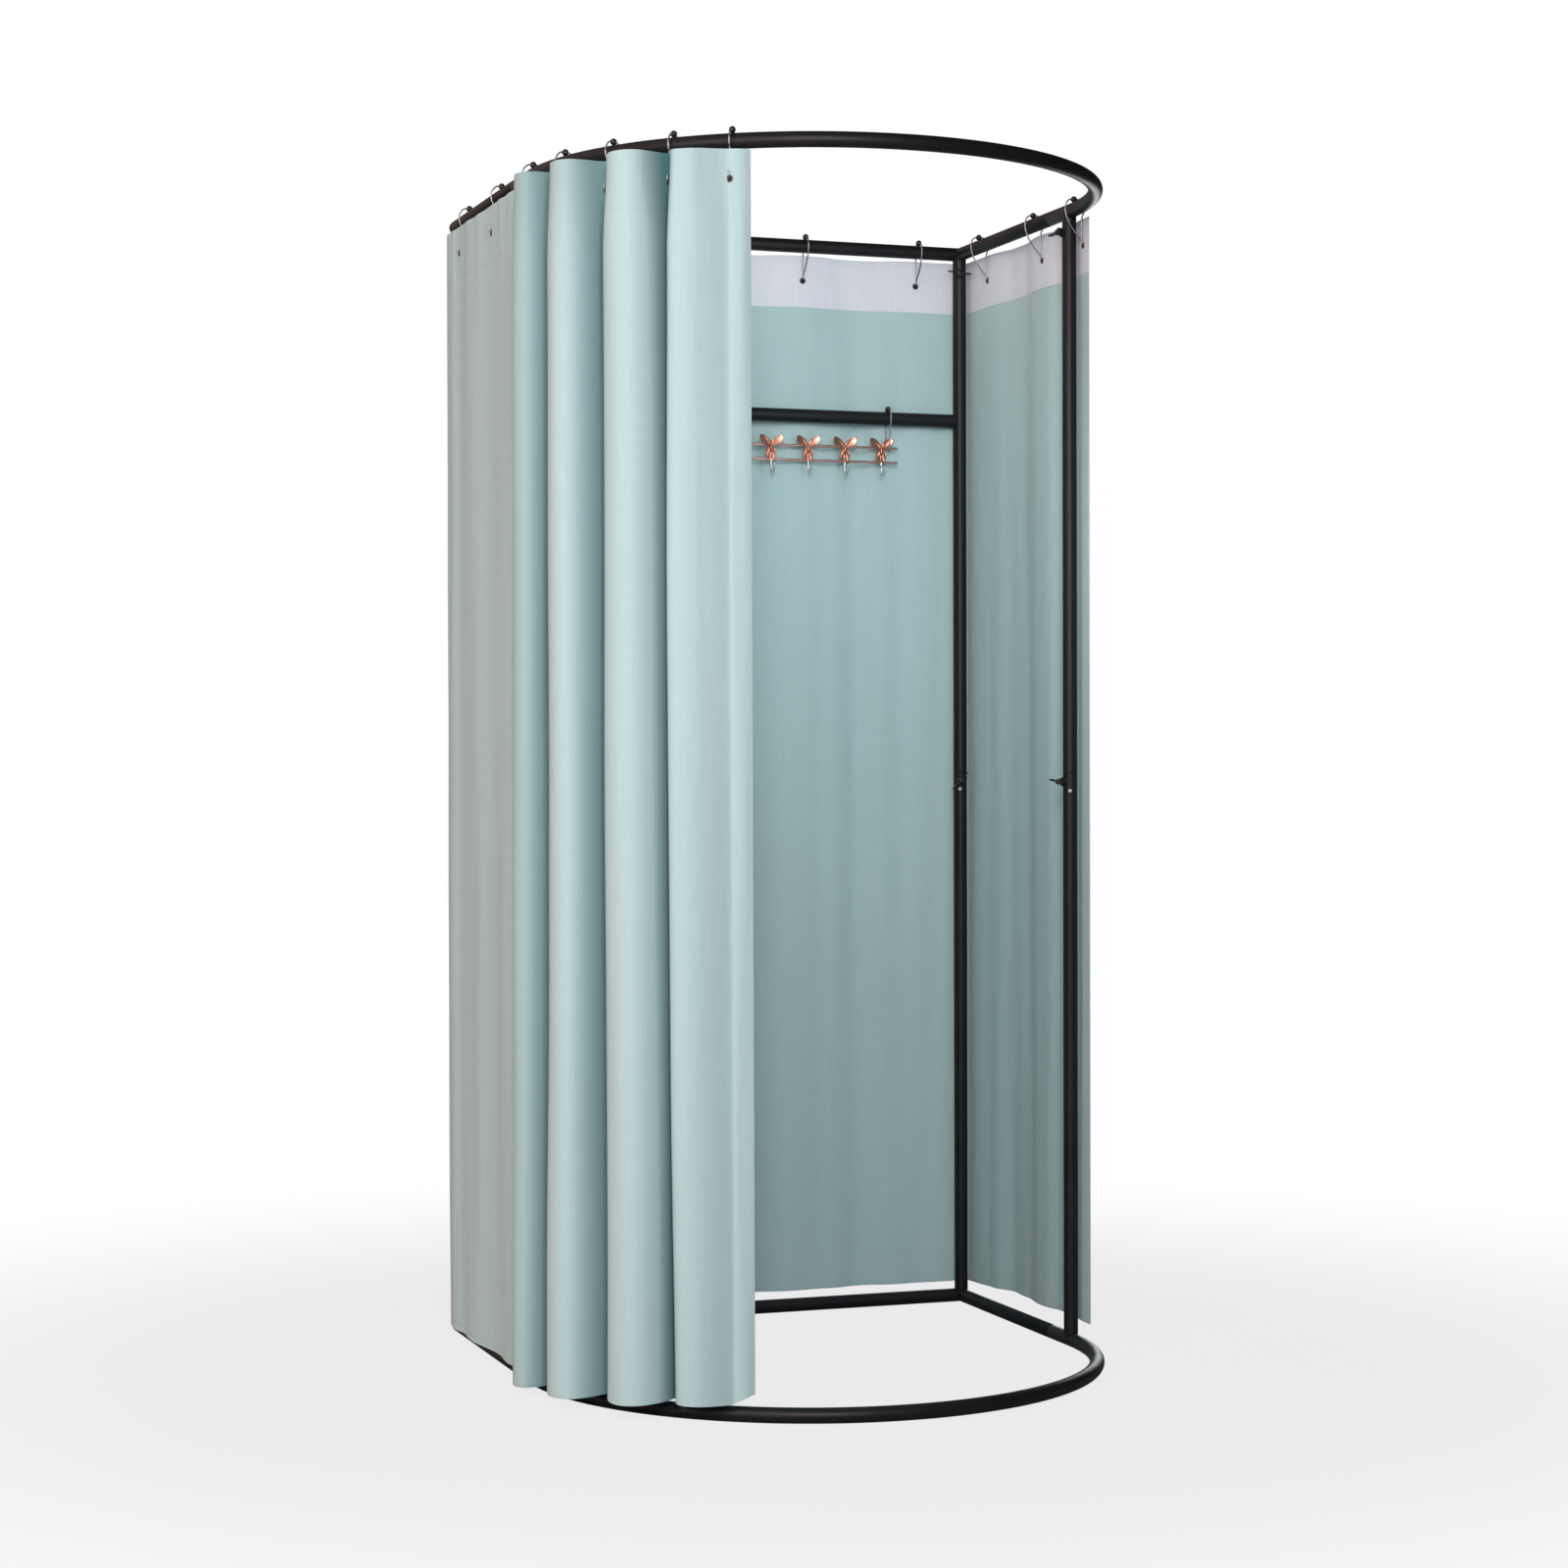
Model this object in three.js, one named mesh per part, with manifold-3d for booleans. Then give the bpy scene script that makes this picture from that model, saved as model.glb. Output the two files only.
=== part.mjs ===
// Portable fitting room. Two tube rings with a flat back and a round front stand apart on four
// two-piece posts locked by wing bolts. Cloth hangs outside the posts from ring hooks on the top
// ring, gathered into folds at the open doorway, and a hook rack hangs from a crossbar inside.
// Millimetres, +Z up, +Y to the back, the doorway at the front.
import * as THREE from 'three';
import { mergeVertices } from 'three/addons/utils/BufferGeometryUtils.js';
import Module from 'manifold-3d';

const wasm = await Module();
wasm.setup();

// Frame sizes
const FRAME_WIDTH = 975;          // between the centres of the left and right posts
const SIDE_LENGTH = 500;          // between the centres of the front and back posts
const FRAME_HEIGHT = 2000;        // floor to the top of the upper ring
const TUBE_DIAMETER = 25;
const TUBE_WALL = 1.2;
const SPIGOT_LENGTH = 45;         // how far a reduced tube end enters the next tube
const FIT_GAP = 0.3;              // between a piece and what it seats on or slides into
const SEAM_HEIGHT = 1005;         // where the upper post meets the lower post
const CROSSBAR_DROP = 328;        // top of the frame to the crossbar's middle
const OVERRUN = 5;                // how far a cutting tool passes the face that it cuts

// Wing bolt sizes
const BOLT_DIAMETER = 6;
const NUT_ACROSS = 13;
const NUT_HEIGHT = 5;
const BOLT_TIP = 4;               // bolt length past the inner wall of the spigot
const HUB_DIAMETER = 11;
const HUB_HEIGHT = 9;
const WING_SPAN = 45;
const WING_THICKNESS = 2.6;
const WING_TIP_RADIUS = 5;
const WING_RISE = 6;              // how far the wing tips lean away from the post
const MID_BOLT_DROP = 15;         // bolt axis below the seam of a post
const TOP_BOLT_DROP = 37.5;       // bolt axis below the centre of the top ring

// Ring hook sizes
const WIRE_DIAMETER = 2.5;
const HOOK_DROP = 59.5;           // rail centre to the lowest point of the wire
const HOOK_LOOP_RADIUS = 20;      // of the wide end that goes round the rail
const RACK_LOOP_RADIUS = 15;      // the same on the two hooks that hold the rack
const HOOK_EYE_RADIUS = 5;        // of the narrow end that holds the cloth
const RACK_EYE_RADIUS = 7;        // of the narrow end that holds the rack
const BEAD_DIAMETER = 11;

// Cloth sizes
const CLOTH_THICKNESS = 1.6;
const CLOTH_STANDOFF = 4.5;       // free space between a post and the cloth
const BAND_HEIGHT = 96;           // header band sewn to the inner side
const BAND_THICKNESS = 0.8;
const HEM_HEIGHT = 25;
const HEM_THICKNESS = 0.8;
const EDGE_STEP = 1;              // height over which a band or hem reaches its full thickness
const EYELET_DIAMETER = 10;
const TOP_EDGE_DROP = 19.5;       // rail centre to the top edge of the cloth
const DOOR_HEM_GAP = 25;          // floor to the hem of the left and door cloth
const BACK_HEM_GAP = 38;          // floor to the hem of the back and right cloth
const CLOTH_REAR_LAP = 6;         // cloth past the centre of the back left post
const RIGHT_LAP = 46;             // cloth past the centre of the front right post
const LEADING_FLAP = 31;          // free edge of the door past its last hook
const FLAP_CURL = 13;             // how far that edge turns in
const SOFT_WAVE = 14;             // depth of the shallow waves between hooks
const LEFT_WAVE = 5;
const FOLD_DEPTHS = [59, 76, 79, 45];     // door folds, from the post to the leading edge
const FOLD_LEANS = [45, 30, 21, -19];     // how far each crest leans towards the leading edge

// Hook rack sizes
const RACK_LENGTH = 433;
const RACK_END_GAP = 127.5;       // rack's right end to the middle of the right post
const RACK_BAR_DIAMETER = 4;
const RACK_BAR_SPACING = 27;
const HOOK_PLATE_SPACING = 73;
const PLATE_WIDTH = 48;
const PLATE_RISE = 19;            // wing tips above the upper bar
const PLATE_THICKNESS = 2.4;
const PLATE_LAP = 4;              // plate past the centre of the lower bar
const KNOB_DIAMETER = 9;
const PRONG_DIAMETER = 2.6;
const PRONG_DROP = 26;            // lowest point of a prong below the lower bar
const PRONG_BEND = 9;             // radius of the bend at its bottom
const PRONG_TIP_RISE = 7;
const PRONG_BALL_DIAMETER = 5.5;

// Counts and angles
const TUBE_SIDES = 12;
const ARC_STEPS = 20;
const TAIL_STEPS = 1;
const WIRE_SIDES = 5;
const EYE_SIDES = 8;              // of the full ring that the narrow end is half of
const LOOP_ANGLES = [35, 65, 95]; // corners of the wide end, from its top
const WING_TIP_STEPS = 3;
const SMALL_SIDES = 10;
const BALL_RINGS = 4;
const BALL_SIDES = 8;
const NUT_SIDES = 6;
const EYELET_SIDES = 8;
const FOLD_STEPS = 14;
const WAVE_STEPS = 6;
const CORNER_STEPS = 6;
const FLAP_STEPS = 3;
const HOOK_PLATE_COUNT = 6;
const PLATE_CURVE_STEPS = 3;
const PRONG_ANGLES = [0, 45, 90, 135];    // corners of the bend of a prong
const RACK_BAR_SIDES = 8;
const SPLIT_STEPS = 2;
const DEGREE = Math.PI / 180;
const DOOR_HOOK_ANGLES = [177, 162.7, 148.7, 135.1, 123.6];
const LAP_HOOK_ANGLE = 2.4;       // the last hook of the right cloth, just past its post
const WING_TURNS = [20, 60, 80, 100, 75, 130, 25, 150];
const BACK_BOLT_TURN = 22;         // turns the back wing bolts inwards, clear of the side cloth
const FOLD_PINCHES = [0.3, 0.43, 0.48, 0.48];  // how much steeper each is at its sides
const FOLD_SPLIT = 0.12;          // where along a fold the next moving length of cloth begins
const LEFT_HOOK_SHARES = [0.18, 0.64];
const RIGHT_HOOK_SHARES = [0.19, 0.69];
const BACK_HOOK_SHARES = [0.214, 0.448, 0.682, 0.915];
const HOOK_SKEW_SHARE = 0.2;      // how far the wide end follows the narrow end of a ring hook
const CROWN_SHARE = 0.8;          // hub diameter at its outer face
const WING_ROOT_SHARE = 0.17;     // of the hub height, from its ends to the edges of a wing
const PLATE_NOTCH_SHARE = 0.3;    // height of the notch between the wings of a hook plate
// Curves down the right edge of a hook plate: bend and end point, as shares of its half width
// and of its height above or below the upper bar
const PLATE_EDGE_SHARES = [
  [0.45, 0.45, 0.85, 1],
  [1.08, 0.8, 0.8, 0.35],
  [0.55, 0.12, 0.34, -0.15],
  [0.62, -0.5, 0.3, -0.85],
  [0.15, -1, 0, -1],
];
const KNOB_FLAT_SHARE = 0.7;      // depth of a knob to its width
const KNOB_SINK_SHARE = 0.125;    // of its diameter, how far its middle stands proud
const KNOB_DROP_SHARE = 0.1;      // of the plate height below the upper bar
const HANGER_PLACE_SHARE = 0.33;  // of the plate width, from the middle of an end plate

// Sizes that follow from these
const TUBE_RADIUS = TUBE_DIAMETER / 2;
const BORE_RADIUS = TUBE_RADIUS - TUBE_WALL;
const SPIGOT_RADIUS = BORE_RADIUS - FIT_GAP;
const SPIGOT_BORE_RADIUS = SPIGOT_RADIUS - TUBE_WALL;
const TUBE_FLAT = TUBE_RADIUS * Math.cos(Math.PI / TUBE_SIDES);
const LOW_RING_Z = TUBE_FLAT;
const HIGH_RING_Z = FRAME_HEIGHT - TUBE_FLAT;
const CROSSBAR_Z = FRAME_HEIGHT - CROSSBAR_DROP;
const ARC_RADIUS = FRAME_WIDTH / 2;
const TAIL_LENGTH = Math.PI * ARC_RADIUS / ARC_STEPS * TAIL_STEPS;
const WIRE_RADIUS = WIRE_DIAMETER / 2;
const BEAD_RADIUS = BEAD_DIAMETER / 2;
const CLOTH_OFFSET = TUBE_RADIUS + CLOTH_STANDOFF + CLOTH_THICKNESS / 2;
const CLOTH_RADIUS = ARC_RADIUS + CLOTH_OFFSET;
const CLOTH_TOP_Z = HIGH_RING_Z - TOP_EDGE_DROP;
const EYELET_RADIUS = EYELET_DIAMETER / 2;
const EYELET_FLAT = EYELET_RADIUS * Math.cos(Math.PI / EYELET_SIDES);
const EYE_SLOPE = Math.tan(Math.PI / EYE_SIDES);     // of the wire beside its lowest point
const WIRE_RISE = EYE_SLOPE * (CLOTH_THICKNESS / 2 + BAND_THICKNESS);
const EYELET_Z = HIGH_RING_Z - HOOK_DROP + WIRE_RADIUS + WIRE_RISE + FIT_GAP - EYELET_FLAT;
const RACK_BAR_RADIUS = RACK_BAR_DIAMETER / 2;
const BAR_REST = (WIRE_RADIUS + FIT_GAP + RACK_BAR_RADIUS) / Math.cos(Math.PI / EYE_SIDES);
const RACK_TOP_Z = CROSSBAR_Z - HOOK_DROP + BAR_REST;
const RACK_LOW_Z = RACK_TOP_Z - RACK_BAR_SPACING;
const RACK_OFFSET = FRAME_WIDTH / 2 - RACK_END_GAP - RACK_LENGTH / 2;

// Materials
const steelPaint = new THREE.MeshStandardMaterial({ color: 0x2a2a2e, roughness: 0.45, metalness: 0.3 });
const boltPaint = new THREE.MeshStandardMaterial({ color: 0x1c1c1e, roughness: 0.5, metalness: 0.2 });
const chrome = new THREE.MeshStandardMaterial({ color: 0xc8c8cc, roughness: 0.2, metalness: 1 });
const copper = new THREE.MeshStandardMaterial({ color: 0xc09080, roughness: 0.35, metalness: 0.8 });
const linen = new THREE.MeshStandardMaterial({ color: 0xb8d6d6, roughness: 0.95, metalness: 0 });

const room = new THREE.Group();

function at(x, y, z) {
  return new THREE.Vector3(x, y, z);
}

// A closed solid from a geometry, with its shared corners joined
function toSolid(geometry) {
  const bare = geometry.clone();
  bare.deleteAttribute('normal');
  bare.deleteAttribute('uv');
  const merged = mergeVertices(bare);
  const index = merged.index.array;
  return new wasm.Manifold(new wasm.Mesh({
    numProp: 3,
    vertProperties: new Float32Array(merged.attributes.position.array),
    triVerts: new Uint32Array(index),
  }));
}

function toGeometry(solid) {
  const mesh = solid.getMesh();
  const geometry = new THREE.BufferGeometry();
  geometry.setAttribute('position', new THREE.BufferAttribute(new Float32Array(mesh.vertProperties), 3));
  geometry.setIndex(new THREE.BufferAttribute(new Uint32Array(mesh.triVerts), 1));
  geometry.computeVertexNormals();
  return geometry;
}

function fuse(solids) {
  return solids.reduce((whole, next) => whole.add(next));
}

function cut(solid, tools) {
  return tools.reduce((whole, tool) => whole.subtract(tool), solid);
}

function addPart(name, solid, material) {
  const mesh = new THREE.Mesh(toGeometry(solid), material);
  mesh.name = name;
  room.add(mesh);
  return mesh;
}

// A regular section whose flat sides face straight up, down, left and right
function roundSection(radius, sides) {
  const points = [];
  for (let i = 0; i < sides; i += 1) {
    const angle = (i + 0.5) / sides * 2 * Math.PI;
    points.push(new THREE.Vector2(radius * Math.cos(angle), radius * Math.sin(angle)));
  }
  return new THREE.Shape(points);
}

function rod(from, to, radius, sides = TUBE_SIDES) {
  const path = new THREE.LineCurve3(from, to);
  return toSolid(new THREE.ExtrudeGeometry(roundSection(radius, sides), { steps: 1, extrudePath: path }));
}

function sweep(path, steps, radius, sides) {
  return toSolid(new THREE.ExtrudeGeometry(roundSection(radius, sides), { steps, extrudePath: path }));
}

// A bent wire with one ring of corners at each of its listed points
class WirePath extends THREE.Curve {
  constructor(points) {
    super();
    this.points = points;
  }
  getPoint(t) {
    const place = t * (this.points.length - 1);
    const before = Math.min(Math.floor(place), this.points.length - 2);
    return this.points[before].clone().lerp(this.points[before + 1], place - before);
  }
  getTangentAt(t) {
    const last = this.points.length - 1;
    const nearest = Math.round(t * last);
    const [before, after] = [Math.max(nearest - 1, 0), Math.min(nearest + 1, last)];
    return this.points[after].clone().sub(this.points[before]).normalize();
  }
  getSpacedPoints(divisions) {
    return Array.from({ length: divisions + 1 }, (_, i) => this.getPoint(i / divisions));
  }
}

function bentWire(points, radius) {
  return sweep(new WirePath(points), points.length - 1, radius, WIRE_SIDES);
}

function turned(profile, sides) {
  const points = profile.map(([radius, height]) => new THREE.Vector2(radius, height));
  const geometry = new THREE.LatheGeometry(points, sides);
  geometry.rotateX(Math.PI / 2);
  return toSolid(geometry);
}

// The half circle in plan, from the right post round the front to the left post, with a
// straight tail at each end
class FrontPath extends THREE.Curve {
  constructor(height) {
    super();
    this.height = height;
  }
  getPoint(t) {
    const along = t * (Math.PI * ARC_RADIUS + 2 * TAIL_LENGTH) - TAIL_LENGTH;
    const angle = along / ARC_RADIUS;
    if (angle < 0) return at(ARC_RADIUS, -along, this.height);
    if (angle > Math.PI) return at(-ARC_RADIUS, along - Math.PI * ARC_RADIUS, this.height);
    return at(ARC_RADIUS * Math.cos(angle), -ARC_RADIUS * Math.sin(angle), this.height);
  }
  getTangentAt(t) {
    const along = t * (Math.PI * ARC_RADIUS + 2 * TAIL_LENGTH) - TAIL_LENGTH;
    const angle = Math.min(Math.max(along / ARC_RADIUS, 0), Math.PI);
    return at(-Math.sin(angle), -Math.cos(angle), 0);
  }
  getSpacedPoints(divisions) {
    return Array.from({ length: divisions + 1 }, (_, i) => this.getPoint(i / divisions));
  }
}

function arcCore(height, radius) {
  return sweep(new FrontPath(height), ARC_STEPS + 2 * TAIL_STEPS, radius, TUBE_SIDES);
}

function hollowArc(height) {
  const section = roundSection(TUBE_RADIUS, TUBE_SIDES);
  section.holes.push(roundSection(BORE_RADIUS, TUBE_SIDES));
  const steps = ARC_STEPS + 2 * TAIL_STEPS;
  return toSolid(new THREE.ExtrudeGeometry(section, { steps, extrudePath: new FrontPath(height) }));
}

// The back rail and both side rails as one bar with mitred back corners. The front ends are
// at frontY.
function rearCore(height, radius, frontY) {
  const left = at(-ARC_RADIUS, SIDE_LENGTH, height);
  const right = at(ARC_RADIUS, SIDE_LENGTH, height);
  const reach = radius + OVERRUN;
  const backRail = rod(at(left.x - reach, left.y, height), at(right.x + reach, right.y, height), radius);
  const corners = [left, right];
  const sideRails = corners.map((corner) => (
    rod(at(corner.x, corner.y + reach, height), at(corner.x, frontY, height), radius)
  ));
  const mitres = corners.map((corner, i) => at(i === 0 ? -1 : 1, -1, 0).normalize());
  const trimmedSides = sideRails.map((rail, i) => (
    rail.trimByPlane(mitres[i].toArray(), mitres[i].dot(corners[i]))
  ));
  const trimmedBack = corners.reduce((bar, corner, i) => (
    bar.trimByPlane(mitres[i].clone().negate().toArray(), -mitres[i].dot(corner))
  ), backRail);
  const heels = sideRails.map((rail) => rail.intersect(backRail));
  return fuse([trimmedBack, ...trimmedSides, ...heels]);
}

// Short upright stubs that the posts push onto: a reduced tube from the rail towards the
// posts, drilled for the wing bolt where one locks the post
function postStub(x, y, railZ, way, railCoreSolid, aim) {
  const end = railZ + way * (TUBE_RADIUS + SPIGOT_LENGTH);
  const face = railZ + way * TUBE_RADIUS;
  const outer = rod(at(x, y, railZ), at(x, y, end), SPIGOT_RADIUS);
  const bore = rod(at(x, y, face), at(x, y, end + way * OVERRUN), SPIGOT_BORE_RADIUS);
  const holes = way < 0 ? [boltHole(x, y, railZ - TOP_BOLT_DROP, aim)] : [];
  return cut(outer, [railCoreSolid, bore, ...holes]);
}

function frontRing(height, way) {
  const core = arcCore(height, TUBE_RADIUS - TUBE_WALL / 2);
  const stubs = [-1, 1].map((side) => postStub(side * ARC_RADIUS, 0, height, way, core, boltAim(side, false)));
  return fuse([hollowArc(height), ...stubs]);
}

// The rear half ring, with reduced front ends that enter the tails of the front half
function rearRing(height, way) {
  const frontY = TAIL_LENGTH + FIT_GAP;
  const shoulderY = frontY + TUBE_WALL;
  const core = rearCore(height, TUBE_RADIUS - TUBE_WALL / 2, frontY);
  const outer = [rearCore(height, TUBE_RADIUS, frontY)];
  const bores = [rearCore(height, BORE_RADIUS, shoulderY)];
  const stubs = [];
  [-1, 1].forEach((side) => {
    const x = side * ARC_RADIUS;
    const endY = frontY - SPIGOT_LENGTH;
    outer.push(rod(at(x, shoulderY, height), at(x, endY, height), SPIGOT_RADIUS));
    bores.push(rod(at(x, shoulderY + OVERRUN, height), at(x, endY - OVERRUN, height), SPIGOT_BORE_RADIUS));
    stubs.push(postStub(x, SIDE_LENGTH, height, way, core, boltAim(side, true)));
  });
  return fuse([cut(fuse(outer), bores), ...stubs]);
}

// The way that a post's wing bolts point: across the doorway at the front, and at the back
// forwards and a little inwards
function boltAim(side, isBack) {
  if (!isBack) return at(-side, 0, 0);
  return at(-side * Math.sin(BACK_BOLT_TURN * DEGREE), -Math.cos(BACK_BOLT_TURN * DEGREE), 0);
}

// A hexagonal nut welded to a post, pointing along a plan direction, and the hole for its bolt
function nutBoss(x, y, z, aim) {
  const far = TUBE_RADIUS + NUT_HEIGHT;
  const radius = NUT_ACROSS / 2 / Math.cos(Math.PI / NUT_SIDES);
  return rod(at(x, y, z), at(x + aim.x * far, y + aim.y * far, z), radius, NUT_SIDES);
}

function boltHole(x, y, z, aim) {
  const far = TUBE_RADIUS + NUT_HEIGHT + OVERRUN;
  const radius = BOLT_DIAMETER / 2 + FIT_GAP;
  return rod(at(x, y, z), at(x + aim.x * far, y + aim.y * far, z), radius, SMALL_SIDES);
}

// Lower post: open at both ends, seated on the bottom ring like a saddle
function lowerPost(x, y, aim, ringCore) {
  const boltZ = SEAM_HEIGHT - MID_BOLT_DROP;
  const outer = fuse([
    rod(at(x, y, LOW_RING_Z), at(x, y, SEAM_HEIGHT), TUBE_RADIUS),
    nutBoss(x, y, boltZ, aim),
  ]);
  const bore = rod(at(x, y, LOW_RING_Z - OVERRUN), at(x, y, SEAM_HEIGHT + OVERRUN), BORE_RADIUS);
  return cut(outer, [bore, boltHole(x, y, boltZ, aim), ringCore]);
}

// Upper post: a reduced lower end enters the lower post, and its top seats under the top ring.
// A back post also carries the inward stub that the crossbar pushes onto.
function upperPost(x, y, aim, ringCore, barSide) {
  const topBoltZ = HIGH_RING_Z - TOP_BOLT_DROP;
  const midBoltZ = SEAM_HEIGHT - MID_BOLT_DROP;
  const seam = SEAM_HEIGHT + FIT_GAP;
  const spigotEnd = seam - SPIGOT_LENGTH;
  const outer = [
    rod(at(x, y, seam), at(x, y, HIGH_RING_Z), TUBE_RADIUS),
    rod(at(x, y, spigotEnd), at(x, y, seam + TUBE_WALL), SPIGOT_RADIUS),
    nutBoss(x, y, topBoltZ, aim),
  ];
  const bores = [
    rod(at(x, y, seam + TUBE_WALL), at(x, y, HIGH_RING_Z + OVERRUN), BORE_RADIUS),
    rod(at(x, y, spigotEnd - OVERRUN), at(x, y, seam + TUBE_WALL + OVERRUN), SPIGOT_BORE_RADIUS),
    boltHole(x, y, topBoltZ, aim),
    boltHole(x, y, midBoltZ, aim),
    ringCore,
  ];
  if (barSide !== 0) {
    const z = CROSSBAR_Z;
    const end = x + barSide * (TUBE_RADIUS + SPIGOT_LENGTH);
    outer.push(rod(at(x, y, z), at(end, y, z), SPIGOT_RADIUS));
    const start = x + barSide * TUBE_RADIUS;
    bores.push(rod(at(start, y, z), at(end + barSide * OVERRUN, y, z), SPIGOT_BORE_RADIUS));
  }
  return cut(fuse(outer), bores);
}

// Crossbar: a tube between the back posts with saddle ends
function crossbar() {
  const y = SIDE_LENGTH;
  const z = CROSSBAR_Z;
  const ends = [at(-ARC_RADIUS, y, z), at(ARC_RADIUS, y, z)];
  const outer = rod(ends[0], ends[1], TUBE_RADIUS);
  const past = TUBE_RADIUS + OVERRUN;
  const bore = rod(at(-ARC_RADIUS - past, y, z), at(ARC_RADIUS + past, y, z), BORE_RADIUS);
  const posts = ends.map((end) => rod(at(end.x, y, z - past), at(end.x, y, z + past), TUBE_RADIUS + FIT_GAP));
  return cut(outer, [bore, ...posts]);
}

// Wing bolt, along +Z from the post's axis: shank, hub and two rounded wings
function wingBolt() {
  const shank = BOLT_DIAMETER / 2;
  const hub = HUB_DIAMETER / 2;
  const tip = SPIGOT_BORE_RADIUS - BOLT_TIP;
  const seat = TUBE_RADIUS + NUT_HEIGHT + FIT_GAP;
  const crown = seat + HUB_HEIGHT;
  const body = turned([
    [0, tip],
    [shank, tip],
    [shank, seat],
    [hub, seat],
    [hub * CROWN_SHARE, crown],
    [0, crown],
  ], SMALL_SIDES);
  const wings = [-1, 1].map((side) => {
    const outline = new THREE.Shape();
    const tipX = WING_SPAN / 2 - WING_TIP_RADIUS;
    const tipZ = seat + HUB_HEIGHT / 2 + WING_RISE;
    outline.moveTo(0, seat + HUB_HEIGHT * WING_ROOT_SHARE);
    outline.lineTo(tipX, tipZ - WING_TIP_RADIUS);
    outline.absarc(tipX, tipZ, WING_TIP_RADIUS, -Math.PI / 2, Math.PI / 2, false);
    outline.lineTo(0, crown - HUB_HEIGHT * WING_ROOT_SHARE);
    const geometry = new THREE.ExtrudeGeometry(outline, {
      depth: WING_THICKNESS, bevelEnabled: false, curveSegments: WING_TIP_STEPS,
    });
    geometry.translate(0, 0, -WING_THICKNESS / 2);
    geometry.rotateX(Math.PI / 2);
    if (side < 0) geometry.rotateZ(Math.PI);
    return toSolid(geometry);
  });
  return fuse([body, ...wings]);
}

function placeWingBolt(name, x, y, z, aim, turn) {
  const bolt = addPart(name, wingBolt(), boltPaint);
  const turnAboutAxis = new THREE.Quaternion().setFromAxisAngle(at(0, 0, 1), turn * DEGREE);
  const aimed = new THREE.Quaternion().setFromUnitVectors(at(0, 0, 1), aim);
  bolt.quaternion.copy(aimed.multiply(turnAboutAxis));
  bolt.position.set(x, y, z);
}

// Ring hook in its own plane: X away from the middle of the room, Z up, the rail at the
// origin. The wire starts and ends inside the bead that rides on the rail.
function ringHook(eyeOffset, eyeRadius, loopRadius) {
  const beadZ = TUBE_FLAT + FIT_GAP + BEAD_RADIUS;
  const skew = eyeOffset * HOOK_SKEW_SHARE;
  const loopZ = beadZ - Math.sqrt(loopRadius ** 2 - skew ** 2);
  const eyeZ = eyeRadius - HOOK_DROP;
  const onLoop = (angle) => at(
    skew + loopRadius * Math.sin(angle * DEGREE),
    0,
    loopZ + loopRadius * Math.cos(angle * DEGREE),
  );
  const onEye = (angle) => at(
    eyeOffset + eyeRadius * Math.sin(angle * DEGREE),
    0,
    eyeZ + eyeRadius * Math.cos(angle * DEGREE),
  );
  const eyeAngles = [];
  for (let i = 0; i <= EYE_SIDES / 2; i += 1) eyeAngles.push(90 + i * 360 / EYE_SIDES);
  const wire = bentWire([
    at(WIRE_RADIUS / 2, 0, beadZ),
    ...LOOP_ANGLES.map(onLoop),
    ...eyeAngles.map(onEye),
    ...LOOP_ANGLES.map((angle) => onLoop(-angle)).reverse(),
    at(-WIRE_RADIUS / 2, 0, beadZ),
  ], WIRE_RADIUS);
  const ball = new THREE.SphereGeometry(BEAD_RADIUS, BALL_SIDES, BALL_RINGS);
  ball.rotateX(Math.PI / 2);
  ball.translate(0, 0, beadZ);
  return fuse([wire, toSolid(ball)]);
}

function placeHook(name, place, railZ, eyeOffset, eyeRadius, loopRadius) {
  const hook = addPart(name, ringHook(eyeOffset, eyeRadius, loopRadius), chrome);
  hook.rotation.z = Math.atan2(place.out.y, place.out.x);
  hook.position.set(place.rail.x, place.rail.y, railZ);
}

function placeClothHook(name, place) {
  placeHook(name, place, HIGH_RING_Z, CLOTH_OFFSET, HOOK_EYE_RADIUS, HOOK_LOOP_RADIUS);
}

// A place on the ring: a point on the rail's centre line and the direction away from the room.
// Along a side the distance runs forward from the back post and then round the front.
function sidePlace(distance, side) {
  if (distance <= SIDE_LENGTH) {
    return { rail: at(side * ARC_RADIUS, SIDE_LENGTH - distance, 0), out: at(side, 0, 0) };
  }
  const angle = (distance - SIDE_LENGTH) / CLOTH_RADIUS;
  const out = at(side * Math.cos(angle), -Math.sin(angle), 0);
  return { rail: out.clone().multiplyScalar(ARC_RADIUS), out };
}

// Along the back the distance runs from the left post to the right post, round that post and
// on along the right side
const CORNER_LENGTH = CLOTH_OFFSET * Math.PI / 2;
function backPlace(distance) {
  if (distance <= FRAME_WIDTH) {
    return { rail: at(distance - ARC_RADIUS, SIDE_LENGTH, 0), out: at(0, 1, 0) };
  }
  const past = distance - FRAME_WIDTH;
  if (past <= CORNER_LENGTH) {
    const angle = Math.PI / 2 - past / CLOTH_OFFSET;
    return { rail: at(ARC_RADIUS, SIDE_LENGTH, 0), out: at(Math.cos(angle), Math.sin(angle), 0) };
  }
  return sidePlace(past - CORNER_LENGTH, 1);
}

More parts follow.
